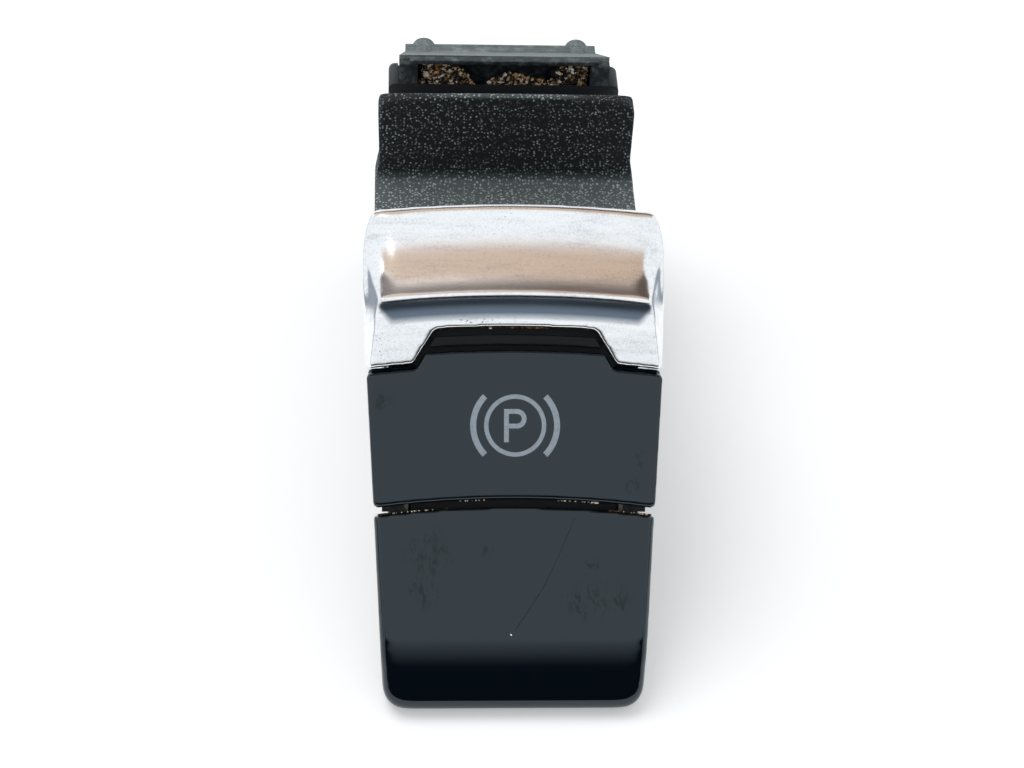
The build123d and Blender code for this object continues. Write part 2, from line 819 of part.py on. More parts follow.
# Contact slider: driven by the round end of the arm, with a magnet over the sensors
slider_low = deck_top + slider_play
with BuildPart() as contact_slider:
    with Locations((0, 0, slider_low)):
        Box(2 * slider_half_width, 2 * slider_half_length, slider_height,
            align=(Align.CENTER, Align.CENTER, Align.MIN))
    with Locations((0, 0, slider_low + slider_floor)):
        Box(arm_width + 2 * side_clearance, 2 * (arm_end_radius + arm_play), slider_height,
            align=(Align.CENTER, Align.CENTER, Align.MIN), mode=Mode.SUBTRACT)
    with Locations((magnet_at, 0, slider_low)):
        Cylinder(magnet_radius + magnet_fit, magnet_height + 2 * magnet_fit,
                 align=(Align.CENTER, Align.CENTER, Align.MIN), mode=Mode.SUBTRACT)
finish(contact_slider, "contact_slider")

with BuildPart() as sensor_magnet:
    with Locations((magnet_at, 0, slider_low + magnet_fit)):
        Cylinder(magnet_radius, magnet_height, align=(Align.CENTER, Align.CENTER, Align.MIN))
finish(sensor_magnet, "sensor_magnet")

# Stop pads on the posts of the deck
with BuildPart() as stop_pads:
    for end, angle in ((-1, pull_angle), (1, press_angle)):
        pad_low = stop_top(angle) - stop_height
        with Locations((stop_x, end * stop_y, pad_low), (-stop_x, end * stop_y, pad_low)):
            Box(2 * stop_half, 2 * stop_half, stop_height, align=(Align.CENTER, Align.CENTER, Align.MIN))
finish(stop_pads, "stop_pads")

# Circuit board with its sensors and lamps
board_top = base_thickness + board_gap + board_thickness
with BuildPart() as circuit_board:
    with BuildSketch(Plane.XY.offset(board_top)):
        with BuildLine():
            body_plan(wall + board_margin, back(board_front), back(board_end))
        make_face()
        with Locations(*screw_spots(0)):
            Circle(screw_post_radius + board_margin, mode=Mode.SUBTRACT)
    extrude(amount=-board_thickness)
finish(circuit_board, "circuit_board")

with BuildPart() as hall_sensors:
    with Locations((magnet_at, -chip_side, board_top), (magnet_at, chip_side, board_top)):
        Box(chip_side, chip_side, chip_height, align=(Align.CENTER, Align.CENTER, Align.MIN))
finish(hall_sensors, "hall_sensors")

with BuildPart() as status_leds:
    with Locations((0, back(guide_at), board_top), (2 * chip_side, back(guide_at), board_top)):
        Box(chip_side, chip_side, chip_height, align=(Align.CENTER, Align.CENTER, Align.MIN))
finish(status_leds, "status_leds")

# Light guide: clear square rod from the lamp to the underside of the lever
with BuildPart() as light_guide:
    with Locations((0, back(guide_at), deck_low)):
        Box(2 * guide_half, 2 * guide_half, big / 4, align=(Align.CENTER, Align.CENTER, Align.MIN))
    with Locations((0, back(guide_at), deck_top + fit / 2)):
        Box(2 * guide_flange_half, 2 * guide_flange_half, guide_flange,
            align=(Align.CENTER, Align.CENTER, Align.MIN))
    split(bisect_by=panel.offset(-guide_top_drop), keep=Keep.BOTTOM)
finish(light_guide, "light_guide")

# Finger well: grained recess with a floor, a leaning wall and side flanges
rim_y = well_crease + well_lean
well_half = cap_width / 2 - well_inset
waist_half = cap_width / 2 - waist_inset
flare_half = cap_width / 2 - flare_inset
waist_at = well_floor + waist_height
with BuildPart() as finger_well:
    with BuildSketch(Plane.YZ) as well_side_view:
        with BuildLine():
            Polyline(
                (well_front, well_floor),
                (back(well_crease), well_floor),
                (back(rim_y), well_rim),
                (back(rim_y + rim_land), well_rim),
                (back(rim_y + well_depth), well_rim - rim_fall),
                (back(well_crease + well_depth), well_floor - well_depth),
                (well_front, well_floor - well_depth),
                close=True,
            )
        make_face()
        crease = well_side_view.vertices().sort_by_distance((back(well_crease), well_floor))[0]
        fillet(crease, crease_round)
    extrude(amount=big, both=True)
    with BuildSketch(Plane.XZ) as well_front_view:
        with BuildLine():
            top = ThreePointArc(
                (-well_half, well_rim - well_rim_arch), (0, well_rim),
                (well_half, well_rim - well_rim_arch),
            )
            for side, corner in ((1, top @ 1), (-1, top @ 0)):
                waist = (side * waist_half, waist_at)
                Line(corner, waist)
                Line(waist, (side * flare_half, well_floor))
                Line((side * flare_half, well_floor), (side * flare_half, 0))
            Line((-flare_half, 0), (flare_half, 0))
        make_face()
        fillet(well_front_view.vertices().group_by(Axis.Y)[-1], well_corner)
        fillet(well_front_view.vertices().filter_by_position(Axis.Y, waist_at - fit, waist_at + fit),
               well_corner)
    extrude(amount=big, both=True, mode=Mode.INTERSECT)
    with BuildSketch(Plane.YZ):
        with BuildLine():
            Polyline(
                (well_front - wall, well_floor - well_skin),
                (back(well_crease) + well_skin, well_floor - well_skin),
                (back(rim_y) + well_skin, well_rim - well_skin - well_rim_arch),
                (back(rim_y) + big, well_rim - well_skin - well_rim_arch),
                (back(rim_y) + big, 0),
                (well_front - wall, 0),
                close=True,
            )
        make_face()
    extrude(amount=waist_half - well_side, both=True, mode=Mode.SUBTRACT)
finish(finger_well, "finger_well")

# Rear frame: window frame of the tower, with a shallow pocket behind the window
tower_half = tower_width / 2
roof_slope = (tower_top - hood_ledge) / (hood_fall_end - tower_at - front_bar - seam)
under_roof = tower_top - hood_wall - fit
with BuildPart() as rear_frame:
    with BuildSketch(Plane.XZ.offset(-back(tower_at))):
        with BuildLine():
            low_top = tower_top - corner_step
            Polyline(
                (-tower_half, tower_base), (-tower_half, low_top),
                (-tower_half + corner_width, low_top), (-tower_half + corner_width, tower_top),
                (tower_half - corner_width, tower_top), (tower_half - corner_width, low_top),
                (tower_half, low_top), (tower_half, tower_base), close=True,
            )
        make_face()
    extrude(amount=-front_bar)
    with BuildSketch(Plane.YZ):
        with BuildLine():
            Polyline(
                (back(tower_at), tower_base),
                (back(tower_at), under_roof),
                (back(tower_at + front_bar + seam), under_roof),
                (back(tower_at + frame_depth), under_roof - roof_slope * (frame_depth - front_bar - seam)),
                (back(tower_at + frame_depth), tower_base),
                close=True,
            )
        make_face()
    extrude(amount=tower_half - hood_wall - fit, both=True)
    with Locations((0, back(tower_at), tower_base + pocket_sill)):
        Box(tower_width - 2 * post_width, 2 * pocket_depth, tower_height - pocket_sill - pocket_head,
            align=(Align.CENTER, Align.CENTER, Align.MIN), mode=Mode.SUBTRACT)
finish(rear_frame, "rear_frame")

# Rear hood: sloping roof behind the frame, with a ledge and two screw bosses
hood_front = tower_at + front_bar + seam
hood_rear_half = tower_half - hood_narrowing
with BuildPart() as rear_hood:
    with BuildSketch(Plane.YZ):
        with BuildLine():
            Polyline(
                (back(hood_front), tower_base),
                (back(hood_front), tower_top),
                (back(hood_fall_end), hood_ledge),
                (back(hood_end), hood_ledge),
                (back(hood_end), tower_base),
                close=True,
            )
        make_face()
    extrude(amount=tower_half, both=True)
    with BuildSketch(Plane.XY):
        with BuildLine():
            Polyline(
                (-tower_half, back(hood_front)), (tower_half, back(hood_front)),
                (hood_rear_half, back(hood_fall_end)), (hood_rear_half, back(hood_end)),
                (-hood_rear_half, back(hood_end)), (-hood_rear_half, back(hood_fall_end)),
                close=True,
            )
        make_face()
    extrude(amount=big, mode=Mode.INTERSECT)
    with BuildSketch(Plane.YZ):
        with BuildLine():
            Polyline(
                (back(hood_front) - seam, tower_base),
                (back(hood_front) - seam, tower_top - hood_wall),
                (back(hood_front), tower_top - hood_wall),
                (back(hood_fall_end) - hood_wall, hood_ledge - hood_wall + roof_slope * hood_wall),
                (back(hood_fall_end) - hood_wall, tower_base),
                close=True,
            )
        make_face()
    extrude(amount=hood_rear_half - hood_wall, both=True, mode=Mode.SUBTRACT)
    with BuildSketch(Plane.YZ):
        with BuildLine():
            Polyline(
                (back(hood_front) - seam, tower_base),
                (back(hood_front) - seam, under_roof + fit),
                (back(hood_front), under_roof + fit),
                (back(tower_at + frame_depth) + fit,
                 under_roof + fit - roof_slope * (frame_depth - front_bar - seam + fit)),
                (back(tower_at + frame_depth) + fit, tower_base),
                close=True,
            )
        make_face()
    extrude(amount=tower_half - hood_wall, both=True, mode=Mode.SUBTRACT)
    for side in (-1, 1):
        with Locations((side * boss_spacing / 2, back(boss_end), boss_height)):
            Cylinder(boss_radius, boss_length, rotation=(90, 0, 0),
                     align=(Align.CENTER, Align.CENTER, Align.MIN))
        with Locations((side * boss_spacing / 2, back(boss_end), boss_height)):
            Cylinder(boss_hole, 2 * boss_hole_depth, rotation=(90, 0, 0), mode=Mode.SUBTRACT)
    with Locations((0, back(hood_end), 0)):
        Box(big, big, 2 * (tower_base + fit / 2), mode=Mode.SUBTRACT)
finish(rear_hood, "rear_hood")

# Connector shroud and its contacts, low on the rear wall
with BuildPart() as connector_shroud:
    with Locations((0, back(socket_front), socket_middle)):
        Box(2 * socket_half_width, socket_end - socket_front, socket_height,
            align=(Align.CENTER, Align.MIN, Align.CENTER))
    with Locations((0, back(socket_front + socket_floor), socket_middle)):
        Box(2 * (socket_half_width - socket_wall), big, socket_height - 2 * socket_wall,
            align=(Align.CENTER, Align.MIN, Align.CENTER), mode=Mode.SUBTRACT)
    with Locations(
        *[((column - (contact_columns - 1) / 2) * contact_pitch, back(socket_front), row)
          for column in range(contact_columns) for row in contact_rows]
    ):
        Box(contact_size, big, contact_size, mode=Mode.SUBTRACT)
finish(connector_shroud, "connector_shroud")

with BuildPart() as connector_pins:
    for column in range(contact_columns):
        pin_x = (column - (contact_columns - 1) / 2) * contact_pitch
        for row, height in enumerate(contact_rows):
            foot = back(socket_front) - (row + 1) * contact_pitch
            with Locations((pin_x, foot - contact_size / 2, height)):
                Box(contact_size, back(contact_tip) - foot + contact_size / 2, contact_size,
                    align=(Align.CENTER, Align.MIN, Align.CENTER))
            with Locations((pin_x, foot, board_top)):
                Box(contact_size, contact_size, height - board_top + contact_size / 2,
                    align=(Align.CENTER, Align.CENTER, Align.MIN))
finish(connector_pins, "connector_pins")

# Console clips: bowed sheet-steel springs on both sides of the housing
with BuildPart() as console_clips:
    with BuildSketch(Plane.XY.offset(clip_low)):
        for side in (-1, 1):
            seat = side * (body_half + fit / 2 + clip_sheet / 2)
            with BuildLine():
                ThreePointArc(
                    (seat, back(clip_at - clip_half_length)),
                    (seat + side * clip_bulge, back(clip_at)),
                    (seat, back(clip_at + clip_half_length)),
                )
            trace(line_width=clip_sheet)
    extrude(amount=clip_height)
finish(console_clips, "console_clips")
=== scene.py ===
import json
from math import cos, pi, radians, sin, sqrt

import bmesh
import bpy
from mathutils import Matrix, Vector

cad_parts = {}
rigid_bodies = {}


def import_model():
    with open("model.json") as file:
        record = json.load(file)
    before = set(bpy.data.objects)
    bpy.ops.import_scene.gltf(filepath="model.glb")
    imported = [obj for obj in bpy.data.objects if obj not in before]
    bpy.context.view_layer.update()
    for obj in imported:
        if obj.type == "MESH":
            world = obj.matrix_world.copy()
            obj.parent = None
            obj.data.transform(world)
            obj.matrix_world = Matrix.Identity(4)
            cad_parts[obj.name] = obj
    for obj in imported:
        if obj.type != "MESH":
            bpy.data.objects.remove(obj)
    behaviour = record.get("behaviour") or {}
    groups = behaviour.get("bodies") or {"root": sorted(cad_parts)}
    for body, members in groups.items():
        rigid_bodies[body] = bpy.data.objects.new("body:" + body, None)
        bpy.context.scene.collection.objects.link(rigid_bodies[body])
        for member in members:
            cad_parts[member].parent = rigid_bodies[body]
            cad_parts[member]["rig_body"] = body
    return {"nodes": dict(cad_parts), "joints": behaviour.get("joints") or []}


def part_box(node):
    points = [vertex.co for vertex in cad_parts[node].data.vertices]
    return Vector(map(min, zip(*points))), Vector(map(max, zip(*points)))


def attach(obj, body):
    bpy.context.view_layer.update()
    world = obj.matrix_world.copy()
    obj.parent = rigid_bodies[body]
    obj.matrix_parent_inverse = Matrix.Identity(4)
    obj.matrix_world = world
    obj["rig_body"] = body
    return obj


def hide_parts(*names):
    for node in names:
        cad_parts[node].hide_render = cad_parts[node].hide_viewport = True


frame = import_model()

# %% [markdown]
# This lesson dresses a console switch for a parking brake. The real one is a moulded black
# housing with two polished panels on a 45 degree slope, a chrome cap that a finger pulls up,
# a grained well that leaves room for the finger, and a small tower at the rear. The solids
# come ready made and in place. Here each one gets its real surface, and the small things that
# no solid holds are added: the printed sign, the dust and the dirt.

mm = 0.001
scene = bpy.context.scene
scene.view_settings.view_transform = "Standard"
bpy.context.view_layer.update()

# %% [markdown]
# Most of what the eye meets lies on the slope of the panels, so a plane that follows them is
# worth having. A run goes up the slope from the toe, and a rise stands out of it. The plane is
# found from the pivot of the lever, which lies 28.4 mm up the slope and 6.5 mm below it. The
# cross lines of the real panels are arcs about one far centre, 122 mm down the slope.

# %% The plane of the panels
slope = radians(45)
arch_run = -122.0 * mm
pivot_run = 28.4 * mm
pivot_depth = 6.5 * mm
slope_frame = Matrix(((1, 0, 0), (0, cos(slope), -sin(slope)), (0, sin(slope), cos(slope))))
pivot = Vector(next(joint["pos_m"] for joint in frame["joints"] if joint["name"] == "lever_pivot"))
slope_start = pivot - slope_frame @ Vector((0, pivot_run, -pivot_depth))


def on_slope(x, run, rise=0.0):
    """A point at x, a run up the slope and a rise out of it."""
    return slope_start + slope_frame @ Vector((x, run, rise))


def arched(x, run):
    """The run that a cross line of the panels has at x, as an arc about the far centre."""
    radius = run - arch_run
    return arch_run + sqrt(radius ** 2 - x ** 2)


print("the slope starts at", [round(c / mm, 2) for c in slope_start], "mm")

# %% [markdown]
# The camera stands a little to the left of the switch and looks straight down on the sloping
# panels, from about 30 cm, with a short telephoto lens. It is turned by small angles away from
# the square view, and these were matched to the edges of the object.

# %% Camera
aim = on_slope(0, 44.55 * mm)
camera_offset = Vector((-0.45, 0.18, 303.7)) * mm
camera_turn = slope_frame.copy()
for axis, degrees in (("X", 0.83), ("Y", -3.13), ("Z", 0.19)):
    camera_turn = camera_turn @ Matrix.Rotation(radians(degrees), 3, axis)
camera = bpy.data.objects.new("camera", bpy.data.cameras.new("camera"))
camera.data.sensor_width = 36.0
camera.data.lens = 78.07
camera.data.clip_start = 10 * mm
camera.data.clip_end = 20.0
camera.matrix_world = (Matrix.Translation(aim + camera_turn @ camera_offset)
                       @ camera_turn.to_4x4())
scene.collection.objects.link(camera)
scene.camera = camera
print("camera", round(camera_offset.z / mm), "mm from the panels")

# %% [markdown]
# Materials are built from nodes. Colours are easiest to read as the hex values that a colour
# chart gives, but light is added up in linear values, so one function turns them. One more
# function adds a node with its settings, values, links and colour stops, which keeps each
# recipe short.

# %% Helpers for materials


def linear(code):
    """An sRGB hex code as a linear RGBA colour."""
    parts = [int(code[i:i + 2], 16) / 255 for i in (1, 3, 5)]
    return [c / 12.92 if c <= 0.04045 else ((c + 0.055) / 1.055) ** 2.4 for c in parts] + [1.0]


def grey(value):
    """A grey as a colour, for colour stops that feed a number."""
    return [value, value, value, 1.0]


def per_metre(size_mm):
    """The scale of a noise whose features are about this size."""
    return 1000.0 / size_mm


def add_node(tree, kind, values=(), links=(), stops=(), **settings):
    """Add a node. Values and links pair a socket with what it gets, stops a place with a colour."""
    made = tree.nodes.new(kind)
    for name, value in settings.items():
        setattr(made, name, value)
    for socket, value in values:
        made.inputs[socket].default_value = value
    for socket, source in links:
        tree.links.new(source, made.inputs[socket])
    for index, (position, colour) in enumerate(stops):
        if index > 1:
            made.color_ramp.elements.new(position)
        made.color_ramp.elements[index].position = position
        made.color_ramp.elements[index].color = colour
    return made


def new_material(name, **values):
    """A material with one Principled shader, its node tree and the shader."""
    made = bpy.data.materials.new(name)
    made.use_nodes = True
    shader = made.node_tree.nodes["Principled BSDF"]
    for socket, value in values.items():
        shader.inputs[socket.replace("_", " ")].default_value = value
    return made, made.node_tree, shader


print("black ABS in linear light:", [round(c, 4) for c in linear("#14171B")])

# %% [markdown]
# Plain moulded and metal parts differ in colour, gloss and the grain of their surface. One
# recipe makes them all: a noise at the size of the grain moves the colour between two tones
# and gives a bump of the grain's real height. The sizes are in millimetres.

# %% One recipe for plain finishes


def plain_finish(name, dark, light, roughness, grain_mm, height_mm, stretch=(1, 1, 1), **values):
    """A material of two tones with a grain of a real size and height."""
    made, tree, shader = new_material(name, Roughness=roughness, **values)
    where = add_node(tree, "ShaderNodeTexCoord").outputs["Object"]
    drawn_out = add_node(tree, "ShaderNodeMapping", [("Scale", stretch)], [("Vector", where)])
    grain = add_node(tree, "ShaderNodeTexNoise", [("Scale", per_metre(grain_mm)), ("Detail", 3.0)],
                     [("Vector", drawn_out.outputs["Vector"])])
    colour = add_node(tree, "ShaderNodeValToRGB", links=[("Fac", grain.outputs["Fac"])],
                      stops=[(0.3, linear(dark)), (0.7, linear(light))])
    bump = add_node(tree, "ShaderNodeBump", [("Distance", height_mm * mm)],
                    [("Height", grain.outputs["Fac"])])
    tree.links.new(colour.outputs["Color"], shader.inputs["Base Color"])
    tree.links.new(bump.outputs["Normal"], shader.inputs["Normal"])
    return made


# Glass-filled nylon, moulded in a spark-eroded tool: a fine dull grain
housing_nylon = plain_finish("spark_eroded_nylon", "#15181B", "#23272A", 0.55, 0.35, 0.02)
# The same nylon with carbon black, for the rocker that shows as a black line round the panels
rocker_nylon = plain_finish("carbon_black_nylon", "#060708", "#0D0E10", 0.7, 0.35, 0.02)
# Plated spring steel: bright, with fine drawing marks along the strip
bright_steel = plain_finish("zinc_plated_steel", "#9A9CA0", "#C2C4C8", 0.32, 0.25, 0.003,
                            (1, 0.2, 1), Metallic=1.0)
# Natural acetal: a warm white plastic that looks a little waxy
natural_acetal = plain_finish("natural_acetal", "#D9D6CB", "#E8E5DC", 0.42, 0.8, 0.004,
                              Subsurface_Weight=0.1)
# Milky polycarbonate: it spreads the lamp's light behind the sign
milky_polycarbonate = plain_finish("milky_polycarbonate", "#DDE2E3", "#ECEFEF", 0.3, 1.0, 0.002)
# Solder mask on glass cloth: a green gloss lacquer over a faint weave
solder_mask = plain_finish("green_solder_mask", "#0E3D22", "#15522F", 0.28, 0.5, 0.01,
                           Coat_Weight=0.5)
# Moulding compound of the chips: dull black with a fine tooth
chip_epoxy = plain_finish("moulded_epoxy", "#161616", "#232323", 0.6, 0.12, 0.005)
# Phosphor cap of a lamp: pale yellow silicone
lamp_phosphor = plain_finish("lamp_phosphor", "#E3DFA8", "#F0ECC0", 0.4, 0.2, 0.003)
# Sintered ferrite of the magnet: dull dark grey, a little metallic, with fine pores
sintered_ferrite = plain_finish("sintered_ferrite", "#3A3A3C", "#4C4C4F", 0.5, 0.15, 0.01,
                                Metallic=0.6)
# Nitrile rubber: black and dull
nitrile_rubber = plain_finish("nitrile_rubber", "#121212", "#1E1E1E", 0.75, 0.2, 0.008)
# Tinned brass contacts: a warm grey metal
tinned_brass = plain_finish("tinned_brass", "#B9A77A", "#CFC39E", 0.3, 0.3, 0.003, Metallic=1.0)
print("plain finishes:", len(bpy.data.materials))

# %% [markdown]
# Clear and smoked parts let light through. The light guide is clear acrylic. The strip over
# the warning lamp is smoked polycarbonate: nearly black from outside, with a polished skin.
# Both have the faint long flow marks that the mould leaves.

# %% Clear and smoked plastics


def clear_plastic(name, tint, roughness, transmission, **values):
    """A see-through plastic with faint flow marks from moulding."""
    made, tree, shader = new_material(name, Roughness=roughness, IOR=1.49, Base_Color=linear(tint),
                                      Transmission_Weight=transmission, **values)
    where = add_node(tree, "ShaderNodeTexCoord").outputs["Object"]
    drawn_out = add_node(tree, "ShaderNodeMapping", [("Scale", (0.2, 1, 1))], [("Vector", where)])
    flow = add_node(tree, "ShaderNodeTexNoise", [("Scale", per_metre(3.0)), ("Detail", 2.0)],
                    [("Vector", drawn_out.outputs["Vector"])])
    bump = add_node(tree, "ShaderNodeBump", [("Distance", 0.01 * mm)],
                    [("Height", flow.outputs["Fac"])])
    tree.links.new(bump.outputs["Normal"], shader.inputs["Normal"])
    return made


# Clear acrylic: water clear, with polished faces
clear_acrylic = clear_plastic("clear_acrylic", "#F2F6F7", 0.06, 0.95)
# Smoked polycarbonate: it sits in a dark slot, so its skin shows little of the room
smoked_polycarbonate = clear_plastic("smoked_polycarbonate", "#0A0D11", 0.12, 0.1,
                                     Specular_IOR_Level=0.16)
print("see-through plastics made")

# %% [markdown]
# The panels are ABS with a polished black skin, often called piano black. Their body is
# almost black, so nearly all that is seen is the bright room in the skin. Fingers have left
# faint prints, where the skin mirrors a little less, and wiping leaves hair-fine scratches.
# A print is a spot with a place and a reach, broken up by a noise as fine as a finger's lines.

# %% Piano black ABS
# ABS has an IOR near 1.54, and 1.6 matches how bright its skin mirrors the room
piano_black, tree, shader = new_material("polished_black_abs", IOR=1.6,
                                         Specular_Tint=linear("#E6F8FF"))
where = add_node(tree, "ShaderNodeTexCoord").outputs["Object"]
# Each print has an x, a run and a reach in mm, and is at its fullest within 0.3 of its reach
finger_prints = ((9.6, 14.8, 4.2), (14.0, 15.4, 3.0), (-11.8, 21.5, 4.6), (-12.6, 16.2, 3.4),
                 (10.6, 19.6, 1.8), (17.4, 34.4, 1.8), (16.2, 30.6, 1.6), (-18.2, 42.2, 2.4),
                 (-4.0, 22.0, 1.5))
full_share = 0.3
spots = None
for x, run, reach in finger_prints:
    away = add_node(tree, "ShaderNodeVectorMath", [(1, on_slope(x * mm, run * mm))], [(0, where)],
                    operation="DISTANCE")
    spot = add_node(tree, "ShaderNodeMapRange",
                    [("From Min", reach * mm), ("From Max", full_share * reach * mm)],
                    [("Value", away.outputs["Value"])]).outputs["Result"]
    spots = add_node(tree, "ShaderNodeMath", links=[(0, spots), (1, spot)],
                     operation="MAXIMUM").outputs["Value"] if spots else spot
skin_lines = add_node(tree, "ShaderNodeMapping", [("Scale", (1.6, 0.7, 0.7))], [("Vector", where)])
ridges = add_node(tree, "ShaderNodeTexNoise",
                  [("Scale", per_metre(1.6)), ("Detail", 6.0), ("Roughness", 0.7),
                   ("Distortion", 1.2)], [("Vector", skin_lines.outputs["Vector"])])
broken = add_node(tree, "ShaderNodeValToRGB", links=[("Fac", ridges.outputs["Fac"])],
                  stops=[(0.44, grey(0.0)), (0.6, grey(1.0))])
print_mask = add_node(tree, "ShaderNodeMath", links=[(0, spots), (1, broken.outputs["Color"])],
                      operation="MULTIPLY")
for socket, clean, greasy in (("Base Color", linear("#070E16"), linear("#03070C")),
                              ("Roughness", grey(0.06), grey(0.55))):
    skin = add_node(tree, "ShaderNodeValToRGB", links=[("Fac", print_mask.outputs["Value"])],
                    stops=[(0.0, clean), (1.0, greasy)])
    tree.links.new(skin.outputs["Color"], shader.inputs[socket])
# Real wiping scratches are finer than a tenth of a millimetre, and are drawn wider to show
wiped = add_node(tree, "ShaderNodeMapping", [("Scale", (1, 0.03, 0.03))], [("Vector", where)])
wiping = add_node(tree, "ShaderNodeTexNoise", [("Scale", per_metre(0.25)), ("Detail", 2.0)],
                  [("Vector", wiped.outputs["Vector"])])
bump = add_node(tree, "ShaderNodeBump", [("Strength", 0.15), ("Distance", 0.002 * mm)],
                [("Height", wiping.outputs["Fac"])])
tree.links.new(bump.outputs["Normal"], shader.inputs["Normal"])
print("piano black made, with", len(finger_prints), "prints")

# %% [markdown]
# The finger cap is moulded ABS with a satin chrome plate. Satin chrome is a metal with a
# finely blasted skin, so it mirrors the room softly. Years of fingers leave faint streaks
# across the cap, the way the fingers slide, and small dark pits where the plate has given way.

# %% Satin chrome plate
satin_chrome, tree, shader = new_material("satin_chrome_plate", Metallic=1.0)
where = add_node(tree, "ShaderNodeTexCoord").outputs["Object"]
slid = add_node(tree, "ShaderNodeMapping", [("Scale", (0.16, 1, 1))], [("Vector", where)])
streaks = add_node(tree, "ShaderNodeTexNoise",
                   [("Scale", per_metre(1.1)), ("Detail", 5.0), ("Roughness", 0.65)],
                   [("Vector", slid.outputs["Vector"])])
speckle = add_node(tree, "ShaderNodeTexNoise",
                   [("Scale", per_metre(0.32)), ("Detail", 3.0), ("Roughness", 0.8)],
                   [("Vector", where)])
half_streaks = add_node(tree, "ShaderNodeMath", [(1, 0.5)], [(0, streaks.outputs["Fac"])],
                        operation="MULTIPLY")
plate = add_node(tree, "ShaderNodeMath", [(1, 0.5)],
                 [(0, speckle.outputs["Fac"]), (2, half_streaks.outputs["Value"])],
                 operation="MULTIPLY_ADD").outputs["Value"]
# Pits sit where the plate is worn: the more worn, the larger a pit in its cell of 0.5 mm
worn = add_node(tree, "ShaderNodeTexNoise", [("Scale", per_metre(8.0)), ("Detail", 2.0)],
                [("Vector", where)])
pits = add_node(tree, "ShaderNodeTexVoronoi", [("Scale", per_metre(0.5))], [("Vector", where)])
pit_size = add_node(tree, "ShaderNodeMapRange",
                    [("From Min", 0.5), ("From Max", 0.75), ("To Max", 0.2)],
                    [("Value", worn.outputs["Fac"])])
in_pit = add_node(tree, "ShaderNodeMath", operation="LESS_THAN",
                  links=[(0, pits.outputs["Distance"]), (1, pit_size.outputs["Result"])])
toned = add_node(tree, "ShaderNodeMath", [(1, -0.45)],
                 [(0, in_pit.outputs["Value"]), (2, plate)], operation="MULTIPLY_ADD")
plate_colour = add_node(tree, "ShaderNodeValToRGB", links=[("Fac", toned.outputs["Value"])],
                        stops=[(0.0, linear("#6E6A68")), (0.34, linear("#D8D8D9")),
                               (0.48, linear("#F3F4F5")), (0.6, linear("#FCFCFD"))])
plate_roughness = add_node(tree, "ShaderNodeValToRGB", links=[("Fac", plate)],
                           stops=[(0.3, grey(0.22)), (0.7, grey(0.14))])
bump = add_node(tree, "ShaderNodeBump", [("Distance", 0.006 * mm)], [("Height", plate)])
tree.links.new(bump.outputs["Normal"], shader.inputs["Normal"])
print("satin chrome made")

# %% [markdown]
# A shallow groove runs under the ridge of the cap. There the plate is painted blue-grey, a
# painted shade for the dark that the groove mirrors, and it is made duller. An image could be
# painted for it, but the groove can also be found by its shape: a point belongs to it where it
# lies under the plane of the legs. Four limits are multiplied: deep enough, above the round
# lower edge, inside the flanks and below the ridge.

# %% Painted shade in the groove of the cap
ridge_run, ridge_rise, leg_length = 57.2, 0.9, 9.2
on_panel = add_node(tree, "ShaderNodeMapping",
                    [("Location", slope_frame.inverted() @ -slope_start),
                     ("Rotation", (-slope, 0, 0))], [("Vector", where)])
panel_place = add_node(tree, "ShaderNodeSeparateXYZ",
                       links=[("Vector", on_panel.outputs["Vector"])])
x_squared = add_node(tree, "ShaderNodeMath", [(1, 2.0)], [(0, panel_place.outputs["X"])],
                     operation="POWER")
sag = add_node(tree, "ShaderNodeMath", [(1, 0.5 / (ridge_run * mm - arch_run))],
               [(0, x_squared.outputs["Value"])], operation="MULTIPLY")
arched_run = add_node(tree, "ShaderNodeMath", operation="ADD",
                      links=[(0, panel_place.outputs["Y"]), (1, sag.outputs["Value"])])
leg_plane = add_node(tree, "ShaderNodeMapRange",
                     [("From Min", (ridge_run - leg_length) * mm), ("From Max", ridge_run * mm),
                      ("To Max", ridge_rise * mm)], [("Value", arched_run.outputs["Value"])])
depth = add_node(tree, "ShaderNodeMath", operation="SUBTRACT",
                 links=[(0, leg_plane.outputs["Result"]), (1, panel_place.outputs["Z"])])
off_middle = add_node(tree, "ShaderNodeMath", links=[(0, panel_place.outputs["X"])],
                      operation="ABSOLUTE")
round_end = add_node(tree, "ShaderNodeMapRange",
                     [("From Min", 16.6 * mm), ("From Max", 19.3 * mm), ("To Max", 2.4 * mm)],
                     [("Value", off_middle.outputs["Value"])], interpolation_type="SMOOTHSTEP")
foot_run = add_node(tree, "ShaderNodeMath", operation="SUBTRACT",
                    links=[(0, arched_run.outputs["Value"]), (1, round_end.outputs["Result"])])
# Each limit is a measure, the value in mm where the painted shade starts and the one where it is
# full
groove_limits = (
    (depth, 0.07, 0.17),
    (foot_run, ridge_run - 4.0, ridge_run - 2.7),
    (off_middle, 19.0, 18.3),
    (arched_run, ridge_run - 0.5, ridge_run - 0.75),
)
groove_shade = None
for measure, start, full in groove_limits:
    share = add_node(tree, "ShaderNodeMapRange",
                     [("From Min", start * mm), ("From Max", full * mm)],
                     [("Value", measure.outputs["Value"])]).outputs["Result"]
    groove_shade = add_node(tree, "ShaderNodeMath", links=[(0, groove_shade), (1, share)],
                     operation="MULTIPLY").outputs["Value"] if groove_shade else share
# Painted shade: the plate turns blue-grey in the groove, for the dark that it mirrors
shaded_plate = add_node(tree, "ShaderNodeMix", [("B", linear("#6B7785"))],
                 [("Factor", groove_shade), ("A", plate_colour.outputs["Color"])], data_type="RGBA")
dulled = add_node(tree, "ShaderNodeMath", [(1, 0.16)],
                  [(0, groove_shade), (2, plate_roughness.outputs["Color"])], operation="MULTIPLY_ADD")
tree.links.new(shaded_plate.outputs["Result"], shader.inputs["Base Color"])
tree.links.new(dulled.outputs["Value"], shader.inputs["Roughness"])
print("grime laid within", len(groove_limits), "limits")
